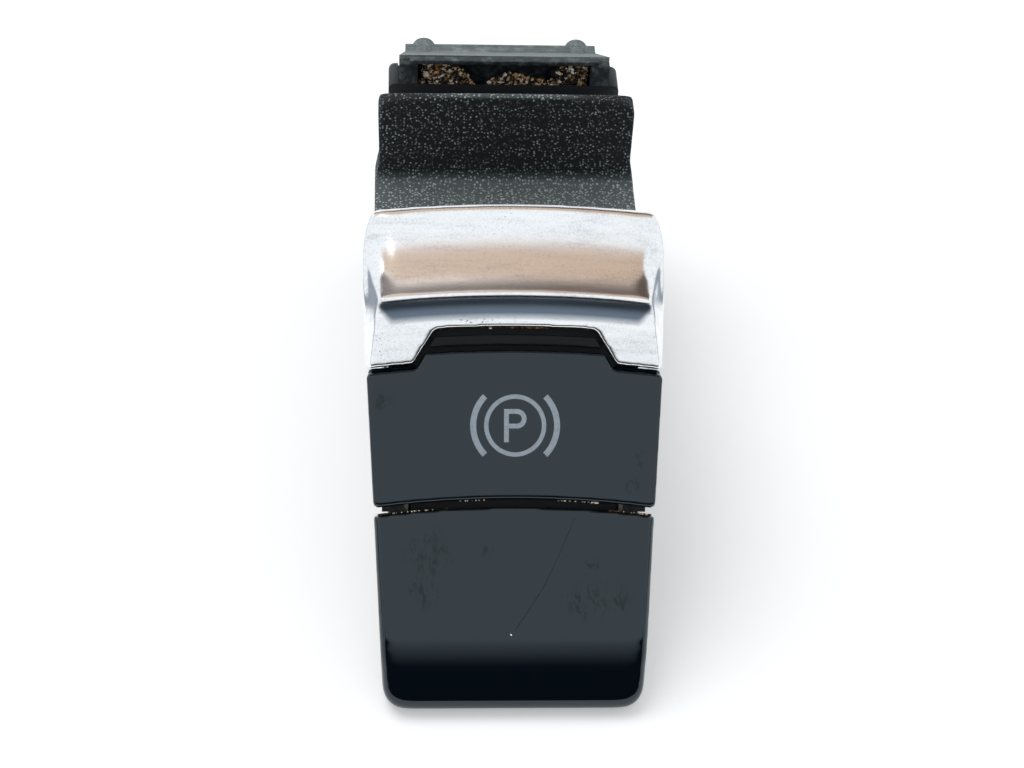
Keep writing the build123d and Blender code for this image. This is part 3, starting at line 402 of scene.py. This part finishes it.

# %% [markdown]
# The well behind the cap has a soft skin with a pebble grain, like leather. A cell pattern
# gives the pebbles, about half a millimetre across: their middles stand up and the valleys
# between them are dark. The tops of the pebbles are painted pale as painted glints, more of
# them in some places than in others. A band of painted light greys the level floor, which
# faces the light, and the rim gets a painted highlight.

# %% Grained soft skin
grained_skin, tree, shader = new_material("grained_soft_skin", IOR=1.45)
where = add_node(tree, "ShaderNodeTexCoord").outputs["Object"]
pebbles = add_node(tree, "ShaderNodeTexVoronoi", [("Scale", per_metre(0.44)), ("Randomness", 0.85)],
                   [("Vector", where)])
density = add_node(tree, "ShaderNodeTexNoise",
                   [("Scale", per_metre(7.0)), ("Detail", 4.0), ("Roughness", 0.6)],
                   [("Vector", where)])
cell_draw = add_node(tree, "ShaderNodeSeparateColor",
                     links=[("Color", pebbles.outputs["Color"])])
# Painted glints: the middles of the pebbles are painted pale, more in some places than others
glint_cell = add_node(tree, "ShaderNodeMath", operation="MULTIPLY",
                      links=[(0, cell_draw.outputs["Red"]), (1, density.outputs["Fac"])])
amount = add_node(tree, "ShaderNodeValToRGB", links=[("Fac", glint_cell.outputs["Value"])],
                  stops=[(0.0, grey(0.22)), (0.16, grey(0.5)), (0.48, grey(1.0))])
top = add_node(tree, "ShaderNodeValToRGB", links=[("Fac", pebbles.outputs["Distance"])],
               stops=[(0.14, grey(1.0)), (0.42, grey(0.0))])
painted_skin_light = add_node(tree, "ShaderNodeMath", operation="MULTIPLY",
                links=[(0, amount.outputs["Color"]), (1, top.outputs["Color"])])
# Painted light on the level floor, which faces the light, and a painted highlight on the rim:
# heights in mm, and how pale it gets
height = add_node(tree, "ShaderNodeSeparateXYZ", links=[("Vector", where)])
for start_mm, full_mm, most in ((36.9, 35.2, 0.36), (48.75, 49.1, 0.3)):
    light_band = add_node(tree, "ShaderNodeMapRange",
                    [("From Min", start_mm * mm), ("From Max", full_mm * mm), ("To Max", most)],
                    [("Value", height.outputs["Z"])])
    painted_skin_light = add_node(tree, "ShaderNodeMath", operation="ADD",
                    links=[(0, painted_skin_light.outputs["Value"]), (1, light_band.outputs["Result"])])
skin_colour = add_node(tree, "ShaderNodeValToRGB", links=[("Fac", painted_skin_light.outputs["Value"])],
                       stops=[(0.0, linear("#0C0E0F")), (0.3, linear("#444C4F")),
                              (0.6, linear("#878E8D")), (1.0, linear("#B9BDB8"))])
skin_roughness = add_node(tree, "ShaderNodeValToRGB", links=[("Fac", pebbles.outputs["Distance"])],
                          stops=[(0.1, grey(0.5)), (0.5, grey(0.8))])
bump = add_node(tree, "ShaderNodeBump", [("Distance", 0.12 * mm)],
                [("Height", pebbles.outputs["Distance"])], invert=True)
tree.links.new(skin_colour.outputs["Color"], shader.inputs["Base Color"])
tree.links.new(skin_roughness.outputs["Color"], shader.inputs["Roughness"])
tree.links.new(bump.outputs["Normal"], shader.inputs["Normal"])
print("grained skin made")

# %% [markdown]
# The tower lies hidden in the console, where dust settles for years. Its nylon is satin black,
# and pale dust lies on it in patches. The hood gets paler tones than the frame, and it shows
# the fine ribs that the tool was milled with.

# %% Dusty moulded nylon
rib_share = 0.35


def dusty_nylon(name, tones, rib_depth_mm):
    """Satin black nylon under patches of dust, from clean to dusty tones, with ribs along x."""
    made, tree, shader = new_material(name, IOR=1.5)
    ribbed = rib_share if rib_depth_mm else 0.0
    where = add_node(tree, "ShaderNodeTexCoord").outputs["Object"]
    patches = add_node(tree, "ShaderNodeTexNoise",
                       [("Scale", per_metre(1.6)), ("Detail", 9.0), ("Roughness", 0.8)],
                       [("Vector", where)])
    milled = add_node(tree, "ShaderNodeMapping", [("Scale", (0.02, 1, 1))], [("Vector", where)])
    ribs = add_node(tree, "ShaderNodeTexNoise", [("Scale", per_metre(0.3)), ("Detail", 1.0)],
                    [("Vector", milled.outputs["Vector"])])
    mixed = add_node(tree, "ShaderNodeMath", [(1, ribbed)], operation="MULTIPLY_ADD",
                     links=[(0, ribs.outputs["Fac"]), (2, patches.outputs["Fac"])])
    colour = add_node(tree, "ShaderNodeValToRGB", links=[("Fac", mixed.outputs["Value"])],
                      stops=[(position + ribbed / 2, linear(code))
                             for position, code in zip((0.36, 0.5, 0.66), tones)])
    roughness = add_node(tree, "ShaderNodeValToRGB", links=[("Fac", patches.outputs["Fac"])],
                         stops=[(0.35, grey(0.4)), (0.7, grey(0.75))])
    grain = add_node(tree, "ShaderNodeBump", [("Distance", 0.05 * mm)],
                     [("Height", patches.outputs["Fac"])])
    relief = add_node(tree, "ShaderNodeBump", [("Distance", rib_depth_mm * mm)],
                      [("Height", ribs.outputs["Fac"]), ("Normal", grain.outputs["Normal"])])
    tree.links.new(colour.outputs["Color"], shader.inputs["Base Color"])
    tree.links.new(roughness.outputs["Color"], shader.inputs["Roughness"])
    tree.links.new(relief.outputs["Normal"], shader.inputs["Normal"])
    return made


frame_nylon = dusty_nylon("dusty_moulded_nylon", ("#14181B", "#2B3236", "#6C7577"), 0.0)
hood_nylon = dusty_nylon("dusty_ribbed_nylon", ("#465050", "#606A69", "#8D9692"), 0.04)
print("dusty nylon made")

# %% [markdown]
# The solids come as loose triangles with sharp corners. A real moulding has a small radius on
# every edge, and that radius is what catches the light. So each piece that shows is copied,
# its doubles are merged, its edges get a narrow bevel, and it stands in for its solid.

# %% Copies with rounded edges


def as_piece(shell, name, material):
    """An object of the shell, with its place in its mesh."""
    mesh = bpy.data.meshes.new(name)
    shell.to_mesh(mesh)
    shell.free()
    mesh.materials.append(material)
    piece = bpy.data.objects.new(name, mesh)
    scene.collection.objects.link(piece)
    return piece


def merged_copy(node):
    """A copy of a solid's triangles, joined to one shell."""
    shell = bmesh.new()
    shell.from_mesh(frame["nodes"][node].data)
    bmesh.ops.remove_doubles(shell, verts=shell.verts, dist=0.0005 * mm)
    return shell


def stand_in(shell, node, material):
    """A smooth piece that takes the place of a solid, on the same body."""
    piece = as_piece(shell, node + "_skin", material)
    piece.data.shade_smooth()
    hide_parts(node)
    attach(piece, frame["nodes"][node]["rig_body"])
    return piece


skins = (
    ("indicator_lens", smoked_polycarbonate, 0.15, "smoked_lens"),
    ("rear_frame", frame_nylon, 0.12, "tower_black"),
    ("rear_hood", hood_nylon, 0.18, "tower_black"),
    ("housing", housing_nylon, 0.15, "housing_black"),
    ("base_cover", housing_nylon, 0.12, "housing_black"),
    ("connector_shroud", housing_nylon, 0.12, "housing_black"),
    ("console_clips", bright_steel, 0.06, "steel"),
)
pieces = {}
for node, material, radius_mm, slot in skins:
    pieces[node] = stand_in(merged_copy(node), node, material)
    edge = pieces[node].modifiers.new("edge_radius", "BEVEL")
    edge.width = radius_mm * mm
    edge.segments = 3
    edge.limit_method = "ANGLE"
    edge.angle_limit = radians(35)
    edge.harden_normals = True
    edge.use_clamp_overlap = True
print("skins:", {name: len(piece.data.polygons) for name, piece in pieces.items()})

# %% [markdown]
# The chrome cap, the panels and the well have soft forms: their edges are round in one place
# and crisp in another. A bevel has one width, so these are cut into fine even faces and then
# relaxed, vertex by vertex. The more rounds a vertex gets, the rounder the form is there. The
# even faces also keep the mirror image in the polished panels free of waves.

# %% Cutting and relaxing


def ease(value, low, high):
    """A smooth step from 0 at low to 1 at high."""
    share = min(1.0, max(0.0, (value - low) / (high - low)))
    return share * share * (3 - 2 * share)


def in_fine_faces(shell, face_mm, turn):
    """The same form in even faces. It is turned square to its main faces while it is cut."""
    bmesh.ops.rotate(shell, verts=shell.verts, cent=(0, 0, 0), matrix=turn.inverted())
    rough = bpy.data.meshes.new("rough_form")
    shell.to_mesh(rough)
    shell.clear()
    carrier = bpy.data.objects.new("rough_form", rough)
    scene.collection.objects.link(carrier)
    cut = carrier.modifiers.new("even_faces", "REMESH")
    cut.mode = "VOXEL"
    cut.voxel_size = face_mm * mm
    ready = carrier.evaluated_get(bpy.context.evaluated_depsgraph_get())
    fine = bpy.data.meshes.new_from_object(ready)
    shell.from_mesh(fine)
    bpy.data.objects.remove(carrier)
    bpy.data.meshes.remove(rough)
    bpy.data.meshes.remove(fine)
    bmesh.ops.rotate(shell, verts=shell.verts, cent=(0, 0, 0), matrix=turn)


def relax(shell, rounds_at):
    """Smooth each vertex as many rounds as rounds_at gives for its place on the slope, in mm."""
    to_slope = slope_frame.inverted()
    rounds = [rounds_at(*(to_slope @ (vertex.co - slope_start) / mm)) for vertex in shell.verts]
    for step in range(int(max(rounds))):
        moving = [vertex for vertex, count in zip(shell.verts, rounds) if count > step]
        bmesh.ops.smooth_vert(shell, verts=moving, factor=0.5,
                              use_axis_x=True, use_axis_y=True, use_axis_z=True)


print("half way up, the smooth step is", ease(0.5, 0.0, 1.0))

# %% [markdown]
# How round a form is follows the real moulding. The cap is crisp at its notch and legs, soft
# at its rim, and softest where the hollow for the finger meets the flanks. The lower panel has
# a generous radius round the toe that narrows up the sides. The rim of the well ends in round
# corners, so what stands out of them is drawn in before the form is relaxed.

# %% Where the forms are round
flank_x = 16.4
flank_fall = 0.13
corner_radius = 1.9 * mm


def cap_rounds(x, run, rise):
    """Rounds of the cap: more in the hollow, at the tip and beside the hollow and the legs."""
    side = ease(abs(x), 13.5, 17.0)
    hollow = ease(run, 56.8, 59.5)
    tip = ease(run, 65.5, 68.5)
    outer_skin = ease(rise, -4.0, -2.0)
    above_legs = ease(run, 51.0, 55.0)
    return 8 + 14 * hollow + 16 * tip + 34 * side * hollow * outer_skin + 10 * side * above_legs


def toe_rounds(x, run, rise):
    """Rounds of the lower panel: many at the front of the toe, few elsewhere."""
    return 4 + 34 * (1 - ease(run, 1.0, 11.0)) * ease(rise, -5.5, -3.5)


def crisp_rounds(x, run, rise):
    """The same few rounds everywhere, which leave a fine radius on each edge."""
    return 3


def roll_off(shell):
    """Let the sides of the hollow roll down into the flanks, further down the further out."""
    to_slope = slope_frame.inverted()
    for vertex in shell.verts:
        x, run, rise = to_slope @ (vertex.co - slope_start) / mm
        beyond = max(0.0, abs(x) - flank_x)
        fall = flank_fall * beyond ** 2 * ease(run, 55.5, 60.0) * ease(rise, -4.5, -1.0)
        vertex.co -= slope_frame @ Vector((0, 0, fall * mm))


def round_corners(shell):
    """Draw what stands out of the round corners of the well's rim onto them."""
    high = max(vertex.co.z for vertex in shell.verts)
    half = max(abs(vertex.co.x) for vertex in shell.verts
               if vertex.co.z > high - 2 * corner_radius)
    for vertex in shell.verts:
        out = Vector((abs(vertex.co.x) - (half - corner_radius),
                      vertex.co.z - (high - corner_radius)))
        if out.x > 0 and out.y > 0 and out.length > corner_radius:
            out = out.normalized() * corner_radius
            vertex.co.x = (half - corner_radius + out.x) * (1 if vertex.co.x > 0 else -1)
            vertex.co.z = high - corner_radius + out.y


unturned = Matrix.Identity(3)
soft_forms = (
    ("pull_cap", 0.2, slope_frame, roll_off, cap_rounds, satin_chrome, "satin_chrome"),
    ("lower_panel", 0.32, slope_frame, None, toe_rounds, piano_black, "gloss_black"),
    ("upper_panel", 0.26, slope_frame, None, crisp_rounds, piano_black, "gloss_black"),
    ("finger_well", 0.36, unturned, round_corners, crisp_rounds, grained_skin, "grained_black"),
)
for node, face_mm, turn, reshape, rounds_at, material, slot in soft_forms:
    shell = merged_copy(node)
    in_fine_faces(shell, face_mm, turn)
    if reshape:
        reshape(shell)
    relax(shell, rounds_at)
    pieces[node] = stand_in(shell, node, material)
    print(node, "has", len(pieces[node].data.polygons), "even faces")

# %% [markdown]
# What lies inside is seen only when the switch is taken apart or the lever is pulled, so these
# solids keep their meshes, without a bevel, and get the finish of their real material.

# %% Finishes of the inner solids
inner = {
    "lever_carrier": rocker_nylon,
    "symbol_diffuser": milky_polycarbonate,
    "pivot_pin": bright_steel,
    "pivot_bushes": natural_acetal,
    "front_spring": bright_steel,
    "rear_spring": bright_steel,
    "contact_slider": natural_acetal,
    "sensor_magnet": sintered_ferrite,
    "stop_pads": nitrile_rubber,
    "circuit_board": solder_mask,
    "hall_sensors": chip_epoxy,
    "status_leds": lamp_phosphor,
    "light_guide": clear_acrylic,
    "connector_pins": tinned_brass,
    "cover_screws": bright_steel,
}
for node, material in inner.items():
    mesh = frame["nodes"][node].data
    mesh.materials.clear()
    mesh.materials.append(material)
print("inner solids:", len(inner))

# %% [markdown]
# The sign of a parking brake is a P in a ring between two brackets. It is printed on the
# panel, so it is almost flat. A text object could give the letter, but its strokes wouldn't
# match the ring. Each stroke is a ribbon instead: an arc is spun about the middle of the sign,
# and the P is a path with mitred corners, a stem with a half round bowl.

# %% Ribbons for flat drawings
ink_rise = 0.012 * mm


def arc_ribbon(drawing, radius, stroke, start, sweep):
    """A flat ribbon about the middle, spun from one short cross edge."""
    edge = [drawing.verts.new(((radius + side * stroke / 2) * cos(start),
                               (radius + side * stroke / 2) * sin(start), 0)) for side in (-1, 1)]
    cross = drawing.edges.new(edge)
    bmesh.ops.spin(drawing, geom=[*edge, cross], cent=(0, 0, 0), axis=(0, 0, 1), angle=sweep,
                   steps=max(6, round(sweep / radians(5))), use_merge=abs(sweep - 2 * pi) < 0.001)


def path_ribbon(drawing, points, stroke):
    """A flat ribbon along a path, with mitred corners."""
    points = [Vector(point) for point in points]
    ways = [(after - before).normalized() for before, after in zip(points, points[1:])]
    last = None
    for index, point in enumerate(points):
        before, after = ways[max(index - 1, 0)], ways[min(index, len(ways) - 1)]
        across = Vector((-(before + after).y, (before + after).x)).normalized()
        reach = stroke / 2 / max(0.5, across.dot(Vector((-after.y, after.x))))
        pair = [drawing.verts.new((*(point + side * reach * across), 0)) for side in (-1, 1)]
        if last:
            drawing.faces.new([last[0], pair[0], pair[1], last[1]])
        last = pair


def lay_on_slope(drawing, run, name, material):
    """Turn a flat drawing into the slope, a hair above the panels, and make it a piece."""
    bmesh.ops.rotate(drawing, verts=drawing.verts, cent=(0, 0, 0), matrix=slope_frame)
    bmesh.ops.translate(drawing, verts=drawing.verts, vec=on_slope(0, run, ink_rise))
    return as_piece(drawing, name, material)


print("ink lies", round(ink_rise / mm, 3), "mm above the panels")

# %% [markdown]
# The ink is pad printed: a soft pad lays a film of it on the panel, a few hundredths of a
# millimetre thick. So the flat drawing gets a thickness of 0.02 mm, and it lies just above the
# panel, because two faces in one place would flicker. It rides with the lever.

# %% The printed sign
sign_run = 39.05 * mm
ink_thickness = 0.02 * mm
ring_radius, ring_stroke = 3.96 * mm, 0.6 * mm
bracket_radius, bracket_stroke = 5.75 * mm, 0.82 * mm
bracket_half_angle = radians(44)
stem_x, letter_low, letter_high = -1.2 * mm, -2.28 * mm, 1.93 * mm
letter_stroke = 0.66 * mm
bowl_x, bowl_radius = 0.23 * mm, 1.0 * mm

# Pad-printed ink: matt pale grey, a little thinner in places
print_ink, tree, shader = new_material("printed_grey_ink", Roughness=0.4)
where = add_node(tree, "ShaderNodeTexCoord").outputs["Object"]
wear = add_node(tree, "ShaderNodeTexNoise", [("Scale", per_metre(0.6)), ("Detail", 4.0)],
                [("Vector", where)])
ink_colour = add_node(tree, "ShaderNodeValToRGB", links=[("Fac", wear.outputs["Fac"])],
                      stops=[(0.3, linear("#8E98A1")), (0.6, linear("#9DA7B0"))])
tree.links.new(ink_colour.outputs["Color"], shader.inputs["Base Color"])

sign = bmesh.new()
arc_ribbon(sign, ring_radius, ring_stroke, 0, 2 * pi)
for side in (0, pi):
    arc_ribbon(sign, bracket_radius, bracket_stroke, side - bracket_half_angle,
               2 * bracket_half_angle)
bowl = [(bowl_x + bowl_radius * cos(radians(angle)),
         letter_high - bowl_radius + bowl_radius * sin(radians(angle)))
        for angle in range(90, -91, -15)]
path_ribbon(sign, [(stem_x, letter_low), (stem_x, letter_high), *bowl,
                   (stem_x + letter_stroke / 2, letter_high - 2 * bowl_radius)], letter_stroke)
bmesh.ops.recalc_face_normals(sign, faces=sign.faces)
bmesh.ops.solidify(sign, geom=sign.faces, thickness=ink_thickness)
printed_sign = lay_on_slope(sign, sign_run, "printed_sign", print_ink)
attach(printed_sign, "lever")
print("sign faces:", len(printed_sign.data.polygons))

# %% [markdown]
# The window of the rear frame is full of crumbs, and dust sits in the gaps. A crumb is an
# icosphere of a few faces, pushed out of round. Thousands of objects would be slow, so a heap
# is one piece, made from copies of one lump. A tone on each crumb goes to the material through
# an attribute, so that one material gives crusts, crumbs and dark bits.

# %% One recipe for crumbs and dust
import random

# Dry crumbs and grit: dull lumps from nearly black to nearly white
crumb_material, tree, shader = new_material("dry_crumbs", Roughness=0.85)
tone = add_node(tree, "ShaderNodeAttribute", attribute_name="tone")
crumb_colour = add_node(tree, "ShaderNodeValToRGB", links=[("Fac", tone.outputs["Fac"])],
                        stops=[(0.0, linear("#0B0908")), (0.3, linear("#33241A")),
                               (0.55, linear("#94673A")), (0.8, linear("#E2B97F")),
                               (1.0, linear("#FFF8EA"))])
tree.links.new(crumb_colour.outputs["Color"], shader.inputs["Base Color"])


def crumbs(name, spots, body):
    """One piece of many small lumps. A spot is a point, a size, a tone and a flatness."""
    chance = random.Random(len(spots))
    lump = bmesh.new()
    bmesh.ops.create_icosphere(lump, subdivisions=1, radius=0.5)
    lump.verts.index_update()
    corners = [vertex.co.copy() for vertex in lump.verts]
    sides = [[vertex.index for vertex in face.verts] for face in lump.faces]
    lump.free()
    heap = bmesh.new()
    layer = heap.verts.layers.float.new("tone")
    for point, size, tone_value, flat in spots:
        stretch = Vector([chance.uniform(0.6, 1.3) * size for axis in "xyz"])
        stretch.z *= flat
        turn = (Matrix.Rotation(chance.uniform(0, pi), 3, "Z")
                @ Matrix.Rotation(chance.uniform(-1, 1) * flat, 3, "X"))
        made = [heap.verts.new(turn @ (corner * chance.uniform(0.75, 1.2) * stretch) + point)
                for corner in corners]
        for vertex in made:
            vertex[layer] = tone_value
        for side in sides:
            heap.faces.new([made[index] for index in side])
    piece = as_piece(heap, name, crumb_material)
    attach(piece, body)
    print(name, "has", len(spots), "lumps")


print("crumbs take their colour from:", tone.attribute_name)

# %% [markdown]
# The crumbs lie in the pocket behind the window as they fell: piled up at both sides and in
# the middle, each pile a little further back towards its top. A rigid body simulation could
# drop them, but a seeded random place under a drawn heap line is quick and always the same.

# %% Crumbs in the window
crumb_count = 4200
crumb_sizes = (0.25, 0.3, 0.35, 0.4, 0.45, 0.55, 0.7)
crumb_tones = (0.0, 0.05, 0.1, 0.3, 0.55, 0.7, 0.85, 1.0)
window_half = 12.6 * mm
window_low = 39.6 * mm
window_height = 7.8 * mm
pocket_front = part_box("rear_frame")[0].y
pocket_depth = 4.4 * mm
# How full the window is along x, in mm: two heaps with a deep dip between them
heap_line = ((-13.0, 1.0), (-7.0, 0.85), (-4.6, 0.5), (-3.6, 0.12), (-2.4, 0.5), (0.5, 0.72),
             (4.0, 0.6), (7.0, 0.55), (9.0, 0.9), (13.0, 1.0))


def heap_top(x):
    """How full the window is at x, from 0 to 1."""
    for (low_x, low), (high_x, high) in zip(heap_line, heap_line[1:]):
        if x <= high_x * mm:
            return low + (high - low) * (x / mm - low_x) / (high_x - low_x)
    return 1.0


chance = random.Random(7)
spots = []
for index in range(crumb_count):
    x = chance.uniform(-window_half, window_half)
    share = chance.random() ** 0.8 * heap_top(x)
    # The higher a crumb lies in the heap, the further back it lies in the pocket
    back = pocket_depth * (0.1 + 0.35 * share) + chance.uniform(-0.25, 0.25) * mm
    point = Vector((x, pocket_front + back, window_low + window_height * share))
    spots.append((point, chance.choice(crumb_sizes) * mm, chance.choice(crumb_tones), 1.0))
crumbs("window_crumbs", spots, "base")

# %% [markdown]
# Dust gathers where a cloth can't reach: at both ends of the groove between the panels, along
# its upper edge, and under the edge of the cap. Near-black lumps at both ends of the groove are
# painted shade, dark stuff where the groove lies in shade. Every speck touches the wall that it
# sits on, and rides with the piece that carries it.

# %% Specks of dust, and painted shade in the groove
speck_spread = 0.5


def specks(seed, groups):
    """Lumps along arched lines of the slope."""
    chance = random.Random(seed)
    rows = []
    for x_low, x_high, run, rise, count, size, tone_low, tone_high in groups:
        for index in range(count):
            x = chance.uniform(x_low, x_high) * mm
            lump = size * chance.uniform(0.6, 1.3) * mm
            spot = on_slope(x, arched(x, run * mm), chance.uniform(rise - speck_spread, rise) * mm)
            rows.append((spot, lump, chance.uniform(tone_low, tone_high), 1.0))
    return rows


# A group has two ends in x, a run, a rise, a count, a size in mm and two ends of its tones
groove_dust_and_shade = (
    (-18.4, -11.0, 27.95, -0.3, 14, 0.22, 0.8, 1.0),
    (13.0, 18.6, 27.95, -0.2, 60, 0.2, 0.1, 0.45),
    (13.5, 18.4, 27.95, -1.2, 70, 0.2, 0.1, 0.5),
    (-18.2, -9.0, 27.95, -1.2, 40, 0.2, 0.1, 0.5),
    (13.2, 18.4, 27.97, -0.3, 12, 0.2, 0.9, 1.0),
    # These four groups are near-black lumps: painted shade at the ends of the groove
    (-18.7, -17.0, 27.97, -0.5, 150, 0.24, 0.0, 0.25),
    (17.2, 18.7, 27.97, -0.5, 150, 0.24, 0.0, 0.3),
    (-18.6, -13.0, 27.97, -0.9, 160, 0.24, 0.0, 0.15),
    (13.0, 18.7, 27.97, -0.9, 160, 0.24, 0.0, 0.2),
)
lever_dust = (
    (-7.5, -4.0, 28.9, -0.25, 9, 0.2, 0.7, 1.0),
    (6.0, 10.5, 28.9, -0.25, 14, 0.2, 0.6, 1.0),
    (10.6, 11.4, 28.9, -0.15, 5, 0.32, 0.9, 1.0),
    (-10.5, 10.5, 52.5, -0.4, 42, 0.2, 0.1, 0.45),
    (-0.5, 4.5, 52.5, -0.3, 26, 0.32, 0.3, 0.62),
    (-3.5, -3.2, 52.4, -0.3, 3, 0.3, 1.0, 1.0),
)
lone_speck = (on_slope(-0.5 * mm, 10.46 * mm, 0.05 * mm), 0.36 * mm, 1.0, 0.5)
crumbs("groove_dust_and_shade", specks(3, groove_dust_and_shade), "base")
crumbs("lever_dust", specks(5, lever_dust), "lever")
crumbs("panel_speck", [lone_speck], "base")

# %% [markdown]
# One long scratch runs down the lower panel. It is a hairline of torn skin, a tenth of a
# millimetre wide, drawn as a path like the letter.

# %% The scratch
# Torn ABS: a dull black line in the polished skin
torn_skin, tree, shader = new_material("torn_black_skin", Roughness=0.55,
                                       Base_Color=linear("#07090C"))
scratch_width = 0.1 * mm
scratch_path = ((8.2, 26.4), (6.6, 22.6), (4.2, 17.4), (2.2, 14.2), (0.0, 11.0))
scratch = bmesh.new()
path_ribbon(scratch, [(x * mm, run * mm) for x, run in scratch_path], scratch_width)
bmesh.ops.recalc_face_normals(scratch, faces=scratch.faces)
long_scratch = lay_on_slope(scratch, 0, "long_scratch", torn_skin)
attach(long_scratch, "base")
print("scratch faces:", len(long_scratch.data.polygons))

# %% [markdown]
# The floor is a white table. It catches the soft contact shadow, and the camera sees it as
# white paper. A glow that only the camera, mirrors and glass see lifts the paper to white, so
# no lamp has to be turned up for it.

# %% Table
floor_reach = 3.0
floor_glow = 0.3


def seen_directly(tree):
    """1 for what the camera, a mirror or a glass looks at, 0 for the light that falls on things."""
    path = add_node(tree, "ShaderNodeLightPath")
    mirrored = add_node(tree, "ShaderNodeMath", operation="MAXIMUM",
                        links=[(0, path.outputs["Is Camera Ray"]),
                               (1, path.outputs["Is Glossy Ray"])])
    return add_node(tree, "ShaderNodeMath", operation="MAXIMUM",
                    links=[(0, mirrored.outputs["Value"]),
                           (1, path.outputs["Is Transmission Ray"])]).outputs["Value"]


# Matt paper: white, without any shine
paper, tree, shader = new_material("white_paper", Roughness=0.9, Base_Color=linear("#F4F4F4"),
                                   Emission_Color=linear("#FFFFFF"))
glow = add_node(tree, "ShaderNodeMath", [(1, floor_glow)], [(0, seen_directly(tree))],
                operation="MULTIPLY")
tree.links.new(glow.outputs["Value"], shader.inputs["Emission Strength"])
table = bmesh.new()
bmesh.ops.create_grid(table, x_segments=1, y_segments=1, size=floor_reach)
floor = as_piece(table, "floor", paper)
print("floor laid")

# %% [markdown]
# The room is a light tent: white all round, with a soft lamp above. The camera, mirrors and
# glass see the tent at its full brightness, and what falls on the object is a little weaker,
# so that pale surfaces keep their shading.

# %% Light tent
sky_light = 0.6
key_place = Vector((-0.35, 0.25, 0.9))

world = bpy.data.worlds.new("light_tent")
scene.world = world
world.use_nodes = True
sky = world.node_tree.nodes["Background"]
sky.inputs["Color"].default_value = linear("#F6FBFF")
brightness = add_node(world.node_tree, "ShaderNodeMapRange",
                      [("To Min", sky_light), ("To Max", 1.0)],
                      [("Value", seen_directly(world.node_tree))])
world.node_tree.links.new(brightness.outputs["Result"], sky.inputs["Strength"])

lamp = bpy.data.lights.new("key", "AREA")
lamp.size = 0.7
lamp.energy = 4.0
key = bpy.data.objects.new("key", lamp)
key_turn = (key_place - aim).to_track_quat("Z", "Y").to_matrix().to_4x4()
key.matrix_world = Matrix.Translation(key_place) @ key_turn
scene.collection.objects.link(key)
print("the key lamp is", round((key_place - aim).length, 2), "m away")

# %% [markdown]
# Polished black and chrome show the room more than themselves, so cards stand round the switch
# where only mirrors see them. A black one low in front and a black cloth on the table give the
# toe its dark band and the cap the dark line under its ridge. A warm one overhead gives the
# hollow of the cap its tan, and a brown one behind it draws the line at the foot of the hollow.
# Two blue-grey ones on the table beside the switch colour the flanks of the cap.

# %% Cards that only mirrors see
middle = (0, 0.02, 0.05)


def card(name, centre, faces, width, height, code, strength, fade):
    """A glowing card. Its colour fades out towards its long edges."""
    sheet = bmesh.new()
    bmesh.ops.create_grid(sheet, x_segments=1, y_segments=24, size=0.5)
    layer = sheet.verts.layers.float.new("cover")
    for vertex in sheet.verts:
        vertex[layer] = min(1.0, (0.5 - abs(vertex.co.y)) / fade)
    bmesh.ops.scale(sheet, verts=sheet.verts, vec=(width, height, 1))
    turn = (Vector(centre) - Vector(faces)).to_track_quat("-Z", "Y").to_matrix()
    bmesh.ops.rotate(sheet, verts=sheet.verts, cent=(0, 0, 0), matrix=turn)
    bmesh.ops.translate(sheet, verts=sheet.verts, vec=centre)
    made, tree, shader = new_material(name + "_paper", Base_Color=linear("#000000"), Roughness=1.0,
                                      Emission_Color=linear(code), Emission_Strength=strength)
    cover = add_node(tree, "ShaderNodeAttribute", attribute_name="cover")
    tree.links.new(cover.outputs["Fac"], shader.inputs["Alpha"])
    piece = as_piece(sheet, name, made)
    piece.visible_camera = False
    piece.visible_diffuse = False
    piece.visible_shadow = False
    piece.visible_transmission = False


# A card has a centre, a point that it faces, a width and height in metres, a colour, a strength
# and the share of its height over which it fades out
cards = (
    ("dark_card", (0, -0.9, 0.19), (0, 0, 0.02), 2.6, 0.79, "#03060B", 1.0, 0.24),
    ("dark_cloth", (0, -0.55, 0.004), (0, -0.55, 1), 2.6, 0.7, "#05080D", 1.0, 0.1),
    ("warm_card", (0, 0.057, 0.75), middle, 1.3, 0.35, "#D6BAA2", 0.85, 0.2),
    ("brown_card", (0, 0.288, 0.587), middle, 1.2, 0.3, "#5A463C", 0.7, 0.1),
    ("left_card", (-0.3, 0.1, 0.004), (-0.3, 0.1, 1), 0.36, 0.6, "#8C98A6", 0.8, 0.1),
    ("right_card", (0.3, 0.1, 0.004), (0.3, 0.1, 1), 0.36, 0.6, "#8C98A6", 0.8, 0.1),
)
for settings in cards:
    card(*settings)
print("cards set:", len(cards))
